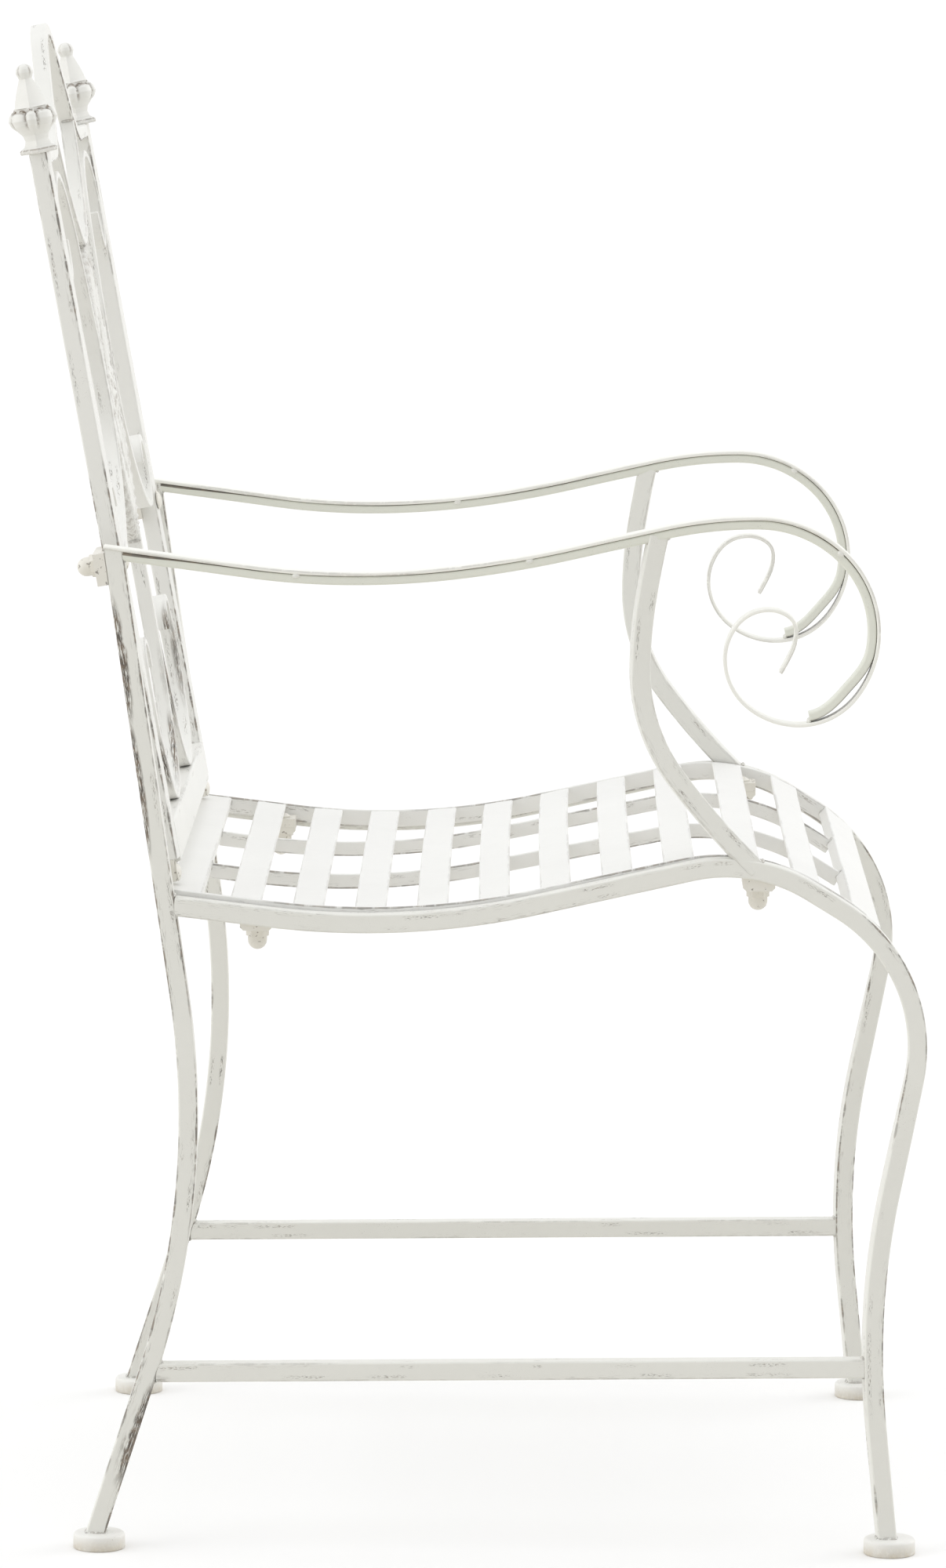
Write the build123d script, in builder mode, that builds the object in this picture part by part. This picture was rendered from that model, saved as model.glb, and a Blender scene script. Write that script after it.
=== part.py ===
from build123d import *
import os
from math import atan2, cos, degrees, radians, sin, sqrt, tan

# Garden armchair of bent and welded bar. Two side frames carry a slatted seat panel
# and a scrolled back panel on bolts, so that the chair packs flat.
# X runs across the chair, Y from front to rear, Z up from the floor, in millimetres.

# Side frames: bends of each bar as (y, z) points where its straight runs would meet
bar = 12.5
frame_half = 250.0
weld_bite = 0.4
foot_dia = 34.0
foot_high = 10.5
foot_chamfer = 2.0
rear_foot_y = 240.0
rear_foot_offset = 5.5
rear_bend = (168.6, 240.6)
rear_bend_radius = 560.0
leg_top = (231.0, 664.0)
front_foot_y = -280.0
front_foot_offset = 1.0
ankle = (-261.7, 165.0)
ankle_radius = 525.0
knee = (-307.0, 389.0)
knee_radius = 108.0
crest = (-187.0, 462.0)
crest_radius = 104.0
dip = (41.0, 410.0)
dip_radius = 520.0
rail_rear_z = 428.0
stretcher_rear_z = 118.0
stretcher_front_z = 124.5

# Arm: a thin strip over a thicker bar, from the rear leg to the scroll at the front
arm_width = 14.0
arm_bar_thick = 6.0
strip_thick = 2.5
arm_rear_z = 661.1
arm_bend = (141.0, 649.5)
arm_low = (78.0, 645.5)
arm_rise = (-66.0, 663.0)
arm_rise_angle = 167.0
arm_peak = (-187.0, 683.5)
scroll_front = (-265.5, 609.0)
scroll_bottom = (-214.0, 549.0)
scroll_back = (-166.0, 592.0)
scroll_top = (-194.0, 624.0)
scroll_inner = (-212.0, 610.0)
scroll_tip = (-202.0, 583.0)
scroll_tip_angle = 300.0
arm_bar_end_ratio = 0.82
support_top_y = -122.0
support_top_angle = 282.0
support_back = (-111.0, 585.0)
support_foot_y = -188.0
support_foot_angle = 224.0

# Seat panel: flat bars on edge along the seat, flat slats arched across it.
# The inner bars dip less than the outer ones and carry the slats higher in the middle.
seat_clear = 0.75
seat_lift = 3.4
seat_crest_lift = 1.8
seat_crest_radius = 118.0
seat_start_gap = 0.5
side_bar_thick = 4.0
side_bar_high = 12.0
long_bar_thick = 4.0
long_bar_high = 10.0
long_bar_rear_z = 429.4
long_bar_dip = (67.0, 413.7)
long_bar_dip_radius = 510.0
long_bar_crest = (-182.0, 464.8)
long_bar_crest_radius = 144.0
long_bar_front = (-294.0, 394.5)
slat_count = 10
slat_width = 20.5
slat_thick = 2.5
slat_drop = 0.5
slat_bite = 0.3
slat_pitch = 41.0
first_slat = 51.0
cross_bar_thick = 8.0
rear_bar_width = 22.0
front_bar_width = 25.0
front_bar_gap = 33.5

# Back panel: drawn flat as (across, up the slope) from a base line over the seat
post = 12.0
post_inset = 35.0
panel_base_z = 448.0
post_fore = 4.8
post_aft = 2.8
post_bottom = 5.0
post_top = 474.5
scroll_thick = 5.0
scroll_deep = 10.0
bottom_rail_low = 2.0
bottom_rail_top = 29.5
bottom_rail_fore = 6.8
bottom_rail_aft = 4.5
crest_rail_thick = 9.0
crest_rail_deep = 11.0
crest_level = 470.0
crest_shoulder = 114.0
crest_shoulder_radius = 60.0
crest_apex = 565.7
crest_apex_radius = 58.0
medallion_half_wide = 46.0
medallion_bottom = 197.0
medallion_thick = 6.0
medallion_rim = 5.0
medallion_rim_high = 1.5
neck_level = 403.0
neck_foot = 97.0
neck_foot_angle = 237.0
neck_bend = (60.0, 432.0)
neck_bend_angle = 222.0
scroll_waist = 300.0
upper_side = 412.0
lower_side = 229.0
loop_turn = 150.0
loop_low = 88.0
loop_side = (160.0, 104.0)
loop_top = (138.0, 142.0)
loop_tip = (119.0, 122.0)

# Scrolls of the back: (distance in from the post, up the slope) for the two curls,
# and (distance out from the medallion, up the slope) for the flanks between them
upper_tip = (41.0, 414.0)
upper_base = (22.0, 390.0)
upper_top = (59.0, 456.0)
upper_flank = (32.0, 402.0)
upper_flank_angle = 246.0
lower_flank = (36.0, 243.0)
lower_flank_angle = 322.0
lower_base = (29.0, 206.0)
lower_top = (26.0, 252.0)
lower_tip = (43.0, 236.0)

# Finials on the posts: radii and heights from flange to ball
finial_flange = (12.3, 3.0)
finial_waist = (7.4, 8.5)
finial_bulge = (16.2, 22.2)
finial_shoulder = (10.6, 31.2)
finial_neck = (4.4, 48.8)
finial_ball = 5.8
finial_cove_sag = 1.3
finial_cup_sag = 3.2
finial_roll_sag = 1.8

# Bolts and the plates that they clamp
bolt_dia = 8.0
hole_clear = 0.6
head_dia = 13.0
head_high = 3.4
head_round = 2.4
washer_dia = 17.5
washer_thick = 2.0
nut_flats = 13.0
nut_hex_high = 5.0
nut_dome_dia = 12.6
nut_high = 14.0
nut_wall = 3.0
seat_tab_rear = (137.5, 416.0)
seat_tab_front = (-189.7, 444.2)
seat_tab_long = 21.0
seat_tab_thick = 4.5
seat_tab_chamfer = 2.2
seat_pad_high = 6.0
seat_lug_high = 6.5
seat_bolt_inset = 24.0
back_bolt_up = 204.0
back_tab_high = 21.0
back_tab_thick = 5.0
corner_bolt_up = -3.5
corner_lug_wide = 12.0
corner_lug_low = -9.5
corner_lug_thick = 5.0
corner_tab_thick = 7.0

os.makedirs("parts", exist_ok=True)


# Centre lines
def heading(angle):
    return Vector(cos(radians(angle)), sin(radians(angle)))


def bent_line(points, radii):
    """Straight runs between the points, with an arc of its own radius at each inner one."""
    points = [Vector(*p) for p in points]
    edges = []
    start = points[0]
    for before, corner, after, radius in zip(points, points[1:], points[2:], radii):
        back = (before - corner).normalized()
        ahead = (after - corner).normalized()
        half = radians(back.get_angle(ahead)) / 2
        reach = radius / tan(half)
        centre = corner + (back + ahead).normalized() * (radius / sin(half))
        middle = centre + (corner - centre).normalized() * radius
        edges.append(Edge.make_line(start, corner + back * reach))
        start = corner + ahead * reach
        edges.append(Edge.make_three_point_arc(corner + back * reach, middle, start))
    edges.append(Edge.make_line(start, points[-1]))
    return edges


def arc_from(start, direction, end):
    """Arc that leaves start along direction and reaches end, and its direction there."""
    chord = (end - start).normalized()
    out = chord * (2 * chord.dot(direction)) - direction
    across = Vector(-chord.Y, chord.X)
    turn = atan2(direction.X * chord.Y - direction.Y * chord.X, chord.dot(direction))
    bulge = (end - start).length / 2 * tan(turn / 2)
    return Edge.make_three_point_arc(start, (start + end) / 2 - across * bulge, end), out


def curled_line(stations):
    """Two tangent arcs between each pair of stations, given as (point, heading angle)."""
    edges = []
    for (p, a), (q, b) in zip(stations, stations[1:]):
        start, end = Vector(*p), Vector(*q)
        leave, arrive = heading(a), heading(b)
        span = end - start
        along = span.dot(leave + arrive)
        spread = 2 * (1 - leave.dot(arrive))
        if spread < 1e-9:
            reach = span.dot(span) / (2 * along)
        else:
            reach = (sqrt(along * along + spread * span.dot(span)) - along) / spread
        joint = (start + end + (leave - arrive) * reach) / 2
        first, turn = arc_from(start, leave, joint)
        second, turn = arc_from(joint, turn, end)
        edges += [first, second]
    return edges


def on_line(edges, value, level):
    """Point and direction where a centre line reaches a y, or a level in z."""
    def miss(edge, t):
        at = edge.position_at(t)
        return (at.Y if level else at.X) - value

    for edge in edges:
        low, high = 0.0, 1.0
        if miss(edge, low) * miss(edge, high) > 0:
            continue
        for step in range(40):
            middle = (low + high) / 2
            if miss(edge, low) * miss(edge, middle) > 0:
                low = middle
            else:
                high = middle
        return edge.position_at(low), edge.tangent_at(low)
    raise ValueError("the centre line does not reach that place")


def along_line(edges, length):
    """Point and direction at a length along a centre line."""
    for edge in edges:
        if length <= edge.length:
            break
        length -= edge.length
    return edge.position_at(length / edge.length), edge.tangent_at(length / edge.length)


def draw_bar(edges, left, right):
    """Outline of a bar that reaches left and right of its centre line, in the open sketch."""
    ends = []
    for reach in (left, -right):
        for edge in edges:
            places = [edge.position_at(t) for t in (0, 0.5, 1)]
            sides = [edge.tangent_at(t).rotate(Axis.Z, 90) * reach for t in (0, 0.5, 1)]
            rim = [at + side for at, side in zip(places, sides)]
            if edge.geom_type == GeomType.LINE:
                Line(rim[0], rim[2])
            else:
                ThreePointArc(*rim)
            ends.append((rim[0], rim[2]))
    count = len(edges)
    Line(ends[0][0], ends[count][0])
    Line(ends[count - 1][1], ends[-1][1])


def save(piece, name):
    piece.part.label = name
    export_step(piece.part, f"parts/{name}.step")


# Centre lines of the side frame
rear_leg_line = bent_line([(rear_foot_y + rear_foot_offset, 0), rear_bend, leg_top], [rear_bend_radius])


def leg_at(z):
    return on_line(rear_leg_line, z, True)[0].X


front_leg_line = bent_line(
    [(front_foot_y + front_foot_offset, 0), ankle, knee, crest, dip, (leg_at(rail_rear_z), rail_rear_z)],
    [ankle_radius, knee_radius, crest_radius, dip_radius],
)
rail_line = front_leg_line[4:]
stretcher_line = [
    Edge.make_line(
        on_line(rear_leg_line, stretcher_rear_z, True)[0],
        on_line(front_leg_line, stretcher_front_z, True)[0],
    )
]
arm_rear = (leg_at(arm_rear_z), arm_rear_z)
arm_slope = degrees(atan2(arm_rear[1] - arm_bend[1], arm_rear[0] - arm_bend[0]))
arm_end = Vector(*arm_rear) + heading(arm_slope) * (bar / 2 / cos(radians(arm_slope)))
arm_stations = [
    (arm_bend, 180 + arm_slope),
    (arm_low, 180),
    (arm_rise, arm_rise_angle),
    (arm_peak, 180),
    (scroll_front, 270),
    (scroll_bottom, 0),
]
curl_stations = [
    (scroll_bottom, 0),
    (scroll_back, 90),
    (scroll_top, 180),
    (scroll_inner, 270),
    (scroll_tip, scroll_tip_angle),
]
arm_line = [Edge.make_line(arm_rear, arm_bend)] + curled_line(arm_stations)
arm_overhang = Edge.make_line(arm_end, Vector(*arm_rear))
arm_up = heading(arm_slope + 90)
strip_plane = Plane(origin=(0, *arm_rear), z_dir=(0, arm_up.X, arm_up.Y))
curl_line = curled_line(curl_stations)
arm_bar_line = arm_line[:-1] + [arm_line[-1].trim(0, arm_bar_end_ratio)]
support_top = on_line(arm_line, support_top_y, False)[0] - Vector(0, (strip_thick + arm_bar_thick) / 2)
support_foot = on_line(rail_line, support_foot_y, False)[0]
support_line = curled_line(
    [
        ((support_top.X, support_top.Y), support_top_angle),
        (support_back, 270),
        ((support_foot.X, support_foot.Y), support_foot_angle),
    ]
)


def seat_lifted(point, lift):
    return (point[0], point[1] + lift)


seat_bends = bent_line(
    [
        (leg_at(rail_rear_z), rail_rear_z + seat_lift),
        seat_lifted(dip, seat_lift),
        seat_lifted(crest, seat_crest_lift),
        knee,
        ankle,
    ],
    [dip_radius, seat_crest_radius, knee_radius],
)
long_bar_line = bent_line(
    [(leg_at(rail_rear_z), long_bar_rear_z), long_bar_dip, long_bar_crest, long_bar_front],
    [long_bar_dip_radius, long_bar_crest_radius],
)
rail_inner = frame_half - bar / 2
slat_places = [seat_start_gap + first_slat + slat_pitch * i for i in range(slat_count)]
rear_bar_place = seat_start_gap + rear_bar_width / 2
front_bar_place = slat_places[-1] + front_bar_gap + front_bar_width / 2
side_bar_x = rail_inner - seat_clear - side_bar_thick / 2
slat_half = side_bar_x - side_bar_thick / 2
slat_top = side_bar_high / 2 - slat_drop
slat_low = slat_top - slat_thick
long_bar_x = side_bar_x / 3


def seat_plane(length):
    """Plane across the seat: x to the rear along it, y square to it, z across the chair."""
    at, ahead = along_line(seat_bends, length)
    return Plane(origin=(0, at.X, at.Y), x_dir=(0, -ahead.X, -ahead.Y), z_dir=(1, 0, 0))


def slat_crown(place):
    """Rise of a slat's middle over its ends, so that it lies on the inner bars."""
    at, ahead = along_line(seat_bends, place)
    over = on_line(long_bar_line, at.X, False)[0].Y - at.Y
    rise = over * abs(ahead.X) + long_bar_high / 2 - slat_low - slat_bite
    return rise / (1 - (long_bar_x / slat_half) ** 2)


def across_seat(place, shift, to_rear):
    """Cutting plane across the seat near a place, facing the rear or the front."""
    bed = seat_plane(place)
    face = bed.x_dir if to_rear else -bed.x_dir
    return Plane(origin=bed.from_local_coords((shift, 0, 0)), z_dir=face)


seat_rear_end = across_seat(seat_start_gap, 0, False)
rear_bar_face = across_seat(rear_bar_place, -rear_bar_width / 2, False)
front_bar_face = across_seat(front_bar_place, front_bar_width / 2, True)


# Bolts: plain shank and low round head, washers and domed nuts
bolt_radius = bolt_dia / 2
hole_radius = bolt_radius + hole_clear / 2
seat_bolt_x = frame_half - seat_bolt_inset
tab_outer = frame_half + bar / 4
tab_inner = seat_bolt_x - seat_tab_long / 2
nut_thread = nut_high - nut_wall
AT_TOP = (Align.CENTER, Align.CENTER, Align.MAX)


seat_tab_spots = (seat_tab_rear, seat_tab_front)


def tab_plane(spot, x):
    """Upright plane across the chair at x, from the top of a level tab under the rail."""
    return Plane(origin=(x, *spot), x_dir=(0, 1, 0), z_dir=(1, 0, 0))


def seat_bolt_plane(spot, hand):
    """Level plane on top of a tab, at its bolt."""
    return Plane(origin=(hand * seat_bolt_x, *spot))


seat_bolt_planes = [seat_bolt_plane(spot, hand) for spot in seat_tab_spots for hand in (-1, 1)]


def turned(seat, points, crown):
    """Turn a half outline round the z of a plane: straight points, then an arc to the axis."""
    with BuildSketch(Plane(origin=seat.origin, x_dir=seat.x_dir, z_dir=-seat.y_dir)) as half:
        with BuildLine():
            Polyline(*points)
            ThreePointArc(points[-1], *crown)
            Line(crown[-1], points[0])
        make_face()
    revolve(half.sketch, axis=Axis(seat.origin, seat.z_dir))


def bolt(plane, head_level, length):
    """Bolt into the open part: its head rests at a level and its shank runs down from there."""
    brim = head_dia / 2
    crown_radius = (brim**2 + head_round**2) / (2 * head_round)
    slope = atan2(brim, crown_radius - head_round) / 2
    middle = (crown_radius * sin(slope), head_high - crown_radius * (1 - cos(slope)))
    turned(
        plane.offset(head_level),
        [(0, -length), (bolt_radius, -length), (bolt_radius, 0), (brim, 0), (brim, head_high - head_round)],
        [middle, (0, head_high)],
    )


def domed_nut(plane, level):
    """Domed nut into the open part, hanging down from a level."""
    seat = plane.offset(level)
    with BuildSketch(seat) as flats:
        RegularPolygon(nut_flats / 2, 6, major_radius=False, rotation=30)
    extrude(flats.sketch, amount=-nut_hex_high)
    dome = nut_dome_dia / 2
    spring = dome - nut_high
    slope = radians(45)
    turned(
        seat,
        [(0, 0), (dome, 0), (dome, spring)],
        [(dome * cos(slope), spring - dome * sin(slope)), (0, -nut_high)],
    )
    with Locations(seat):
        Cylinder(bolt_radius, nut_thread, align=AT_TOP, mode=Mode.SUBTRACT)


# Back panel frame: x across, y up the slope, z square to it towards the sitter
base_y = leg_at(panel_base_z) - post_fore
lean = atan2(leg_at(panel_base_z + back_bolt_up) + post_aft - base_y, back_bolt_up)
panel = Plane(origin=(0, base_y, panel_base_z), x_dir=(1, 0, 0), z_dir=(0, -cos(lean), sin(lean)))
panel_mirror = Plane(origin=panel.origin, x_dir=(-1, 0, 0), z_dir=-panel.z_dir)
post_half = frame_half - post_inset


def post_plane(hand, up):
    """Plane on the axis of a post at a height up the panel, square to it like the panel."""
    return Plane(
        origin=panel.from_local_coords((hand * post_half, up, 0)), x_dir=(1, 0, 0), z_dir=panel.z_dir
    )


post_inner = post_half - post / 2
half_thick = scroll_thick / 2
medallion_top = neck_level - half_thick + weld_bite
medallion_mid = (medallion_top + medallion_bottom) / 2
medallion_half_high = (medallion_top - medallion_bottom) / 2
scroll_waist_x = medallion_half_wide + half_thick - weld_bite
side_touch = post_inner - half_thick + weld_bite
loop_touch = bottom_rail_top + half_thick - weld_bite


def from_post(spot):
    return (post_inner - spot[0], spot[1])


def from_medallion(spot):
    return (medallion_half_wide + spot[0], spot[1])


back_scroll_line = curled_line(
    [
        (from_post(upper_tip), 270),
        (from_post(upper_base), 0),
        ((side_touch, upper_side), 90),
        (from_post(upper_top), 180),
        (from_medallion(upper_flank), upper_flank_angle),
        ((scroll_waist_x, scroll_waist), 270),
        (from_medallion(lower_flank), lower_flank_angle),
        (from_post(lower_base), 0),
        ((side_touch, lower_side), 90),
        (from_post(lower_top), 180),
        (from_post(lower_tip), 270),
    ]
)
crest_line = bent_line(
    [
        (-post_inner, crest_level),
        (-crest_shoulder, crest_level),
        (0, crest_apex),
        (crest_shoulder, crest_level),
        (post_inner, crest_level),
    ],
    [crest_shoulder_radius, crest_apex_radius, crest_shoulder_radius],
)
neck_start = on_line(crest_line[4:], neck_foot, False)[0]
neck_line = curled_line(
    [((neck_start.X, neck_start.Y), neck_foot_angle), (neck_bend, neck_bend_angle), ((0, neck_level), 180)]
)
stem_x = half_thick
loop_line = [Edge.make_line((stem_x, medallion_bottom + medallion_rim), (stem_x, loop_turn))] + curled_line(
    [
        ((stem_x, loop_turn), 270),
        ((loop_low, loop_touch), 0),
        (loop_side, 90),
        (loop_top, 180),
        (loop_tip, 280),
    ]
)

sides = (("right", -1), ("left", 1))

# Side frames
for side, hand in sides:
    frame_plane = Plane.YZ.offset(hand * frame_half)
    foot_spots = {"rear": rear_foot_y, "front": front_foot_y}
    for end, foot_y in foot_spots.items():
        with BuildPart() as foot:
            with Locations((hand * frame_half, foot_y, foot_high / 2)):
                Cylinder(foot_dia / 2, foot_high)
            chamfer(foot.edges().group_by(Axis.Z)[-1], foot_chamfer)
        save(foot, f"{side}_{end}_foot")

    with BuildPart() as rear_leg:
        with BuildSketch(frame_plane):
            with BuildLine():
                draw_bar(rear_leg_line, bar / 2, bar / 2)
            make_face()
        extrude(amount=bar / 2, both=True)
        split(bisect_by=Plane.XY.offset(foot_high), keep=Keep.TOP)
        split(bisect_by=strip_plane.offset(-strip_thick / 2), keep=Keep.BOTTOM)
    save(rear_leg, f"{side}_rear_leg")

    with BuildPart() as front_leg:
        with BuildSketch(frame_plane):
            with BuildLine():
                draw_bar(front_leg_line, bar / 2, bar / 2)
            make_face()
        extrude(amount=bar / 2, both=True)
        split(bisect_by=Plane.XY.offset(foot_high), keep=Keep.TOP)
        add(rear_leg.part, mode=Mode.SUBTRACT)
    save(front_leg, f"{side}_front_leg")

    with BuildPart() as stretcher:
        with BuildSketch(frame_plane):
            with BuildLine():
                draw_bar(stretcher_line, bar / 2, bar / 2)
            make_face()
        extrude(amount=bar / 2, both=True)
        add([rear_leg.part, front_leg.part], mode=Mode.SUBTRACT)
    save(stretcher, f"{side}_stretcher")

    with BuildPart() as arm_strip:
        with BuildSketch(frame_plane):
            with BuildLine():
                draw_bar([arm_overhang] + arm_line + curl_line, strip_thick / 2, strip_thick / 2)
            make_face()
        extrude(amount=arm_width / 2, both=True)
    save(arm_strip, f"{side}_arm_strip")

    with BuildPart() as arm_bar:
        with BuildSketch(frame_plane):
            with BuildLine():
                draw_bar(arm_bar_line, strip_thick / 2 + arm_bar_thick, -strip_thick / 2)
            make_face()
        extrude(amount=bar / 2, both=True)
        add(rear_leg.part, mode=Mode.SUBTRACT)
    save(arm_bar, f"{side}_arm_bar")

    with BuildPart() as arm_support:
        with BuildSketch(frame_plane):
            with BuildLine():
                draw_bar(support_line, bar / 2, bar / 2)
            make_face()
        extrude(amount=bar / 2, both=True)
        add([arm_strip.part, arm_bar.part, front_leg.part], mode=Mode.SUBTRACT)
    save(arm_support, f"{side}_arm_support")

    # Level plates under the rail, with a pad that fills the wedge to the sloping rail
    with BuildPart() as seat_tabs:
        for spot in seat_tab_spots:
            with BuildSketch(tab_plane(spot, hand * rail_inner)):
                with Locations((0, seat_pad_high / 2)):
                    Rectangle(seat_tab_long, seat_pad_high)
            extrude(amount=hand * (tab_outer - rail_inner))
            with BuildSketch(tab_plane(spot, hand * tab_inner)):
                with BuildLine():
                    half = seat_tab_long / 2
                    Polyline(
                        (-half, 0),
                        (half, 0),
                        (half, seat_tab_chamfer - seat_tab_thick),
                        (half - seat_tab_chamfer, -seat_tab_thick),
                        (seat_tab_chamfer - half, -seat_tab_thick),
                        (-half, seat_tab_chamfer - seat_tab_thick),
                        close=True,
                    )
                make_face()
            extrude(amount=hand * (tab_outer - tab_inner))
            with Locations(seat_bolt_plane(spot, hand)):
                Cylinder(hole_radius, seat_tab_thick, align=AT_TOP, mode=Mode.SUBTRACT)
        add(front_leg.part, mode=Mode.SUBTRACT)
    save(seat_tabs, f"{side}_seat_tabs")

    # The back tab is a plate behind leg and post, with a pad that closes the step to the leg
    with BuildPart() as back_tab:
        plate_inner = post_half - back_tab_high / 2
        plate_outer = frame_half + bar / 2
        with BuildSketch(panel.offset(-post / 2)):
            with Locations((hand * (plate_inner + plate_outer) / 2, back_bolt_up)):
                Rectangle(plate_outer - plate_inner, back_tab_high)
        extrude(amount=-back_tab_thick)
        with BuildSketch(panel.offset(-post / 2)):
            with Locations((hand * frame_half, back_bolt_up)):
                Rectangle(bar, back_tab_high)
        extrude(amount=bar / 2)
        add(rear_leg.part, mode=Mode.SUBTRACT)
        with Locations(post_plane(hand, back_bolt_up)):
            Cylinder(hole_radius, post + 2 * back_tab_thick, align=AT_TOP, mode=Mode.SUBTRACT)
    save(back_tab, f"{side}_back_tab")

    # The corner tab stands on the inside of the leg, behind the lug of the back panel
    with BuildPart() as corner_tab:
        with BuildSketch(panel.offset(-corner_lug_thick / 2)):
            tab_inner_x = post_half - corner_lug_wide / 2
            with Locations((hand * (tab_inner_x + frame_half) / 2, (corner_lug_low + post_bottom) / 2)):
                Rectangle(frame_half - tab_inner_x, post_bottom - corner_lug_low)
        extrude(amount=-corner_tab_thick)
        add(rear_leg.part, mode=Mode.SUBTRACT)
        with Locations(post_plane(hand, corner_bolt_up)):
            Cylinder(bolt_radius, 2 * corner_tab_thick + corner_lug_thick, mode=Mode.SUBTRACT)
    save(corner_tab, f"{side}_corner_tab")

# Seat panel
side_bars = []
long_bars = []
for side, hand in sides:
    with BuildPart() as seat_side_bar:
        with BuildSketch(Plane.YZ.offset(hand * side_bar_x)):
            with BuildLine():
                draw_bar(seat_bends, side_bar_high / 2, side_bar_high / 2)
            make_face()
        extrude(amount=side_bar_thick / 2, both=True)
        split(bisect_by=seat_rear_end, keep=Keep.TOP)
        split(bisect_by=front_bar_face, keep=Keep.TOP)
    save(seat_side_bar, f"{side}_seat_side_bar")
    side_bars.append(seat_side_bar.part)

    with BuildPart() as seat_long_bar:
        with BuildSketch(Plane.YZ.offset(hand * long_bar_x)):
            with BuildLine():
                draw_bar(long_bar_line, long_bar_high / 2, long_bar_high / 2)
            make_face()
        extrude(amount=long_bar_thick / 2, both=True)
        split(bisect_by=rear_bar_face, keep=Keep.TOP)
        split(bisect_by=front_bar_face, keep=Keep.TOP)
    save(seat_long_bar, f"{side}_seat_long_bar")
    long_bars.append(seat_long_bar.part)

for number, place in enumerate(slat_places, start=1):
    bed = seat_plane(place)
    crown = slat_crown(place)
    with BuildPart() as seat_slat:
        with BuildSketch(Plane(origin=bed.origin, x_dir=(1, 0, 0), z_dir=-bed.x_dir)):
            with BuildLine():
                ThreePointArc((-slat_half, slat_low), (0, slat_low + crown), (slat_half, slat_low))
                Line((slat_half, slat_low), (slat_half, slat_top))
                ThreePointArc((slat_half, slat_top), (0, slat_top + crown), (-slat_half, slat_top))
                Line((-slat_half, slat_top), (-slat_half, slat_low))
            make_face()
        extrude(amount=slat_width / 2, both=True)
        add(long_bars, mode=Mode.SUBTRACT)
    save(seat_slat, f"seat_slat_{number}")

with BuildPart() as seat_rear_bar:
    with BuildSketch(seat_plane(rear_bar_place)):
        with Locations((0, slat_top - cross_bar_thick / 2)):
            Rectangle(rear_bar_width, cross_bar_thick)
    extrude(amount=slat_half, both=True)
save(seat_rear_bar, "seat_rear_bar")

with BuildPart() as seat_front_bar:
    with BuildSketch(seat_plane(front_bar_place)):
        with Locations((0, slat_top - cross_bar_thick / 2)):
            Rectangle(front_bar_width, cross_bar_thick)
    extrude(amount=rail_inner - seat_clear, both=True)
save(seat_front_bar, "seat_front_bar")

with BuildPart() as seat_lugs:
    lug_outer = rail_inner - seat_clear
    for spot in seat_tab_spots:
        for side, hand in sides:
            with BuildSketch(tab_plane(spot, hand * tab_inner)):
                with Locations((0, seat_lug_high / 2)):
                    Rectangle(seat_tab_long, seat_lug_high)
            extrude(amount=hand * (lug_outer - tab_inner))
    add(side_bars, mode=Mode.SUBTRACT)
    with Locations(*seat_bolt_planes):
        Cylinder(hole_radius, 4 * seat_lug_high, mode=Mode.SUBTRACT)
save(seat_lugs, "seat_lugs")

with BuildPart() as seat_bolts:
    for plane in seat_bolt_planes:
        bolt(plane, seat_lug_high, seat_lug_high + seat_tab_thick + washer_thick + nut_thread)
save(seat_bolts, "seat_bolts")

with BuildPart() as seat_washers:
    for plane in seat_bolt_planes:
        with Locations(plane.offset(-seat_tab_thick)):
            Cylinder(washer_dia / 2, washer_thick, align=AT_TOP)
            Cylinder(hole_radius, washer_thick, align=AT_TOP, mode=Mode.SUBTRACT)
save(seat_washers, "seat_washers")

with BuildPart() as seat_nuts:
    for plane in seat_bolt_planes:
        domed_nut(plane, -seat_tab_thick - washer_thick)
save(seat_nuts, "seat_nuts")

# Back panel
with BuildPart() as crest_rail:
    with BuildSketch(panel):
        with BuildLine():
            draw_bar(crest_line, crest_rail_thick / 2, crest_rail_thick / 2)
        make_face()
    extrude(amount=crest_rail_deep / 2, both=True)
save(crest_rail, "crest_rail")

with BuildPart() as bottom_rail:
    with BuildSketch(panel.offset(-bottom_rail_aft)):
        with Locations((0, (bottom_rail_low + bottom_rail_top) / 2)):
            Rectangle(2 * post_inner, bottom_rail_top - bottom_rail_low)
    extrude(amount=bottom_rail_aft + bottom_rail_fore)
save(bottom_rail, "back_bottom_rail")

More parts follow.
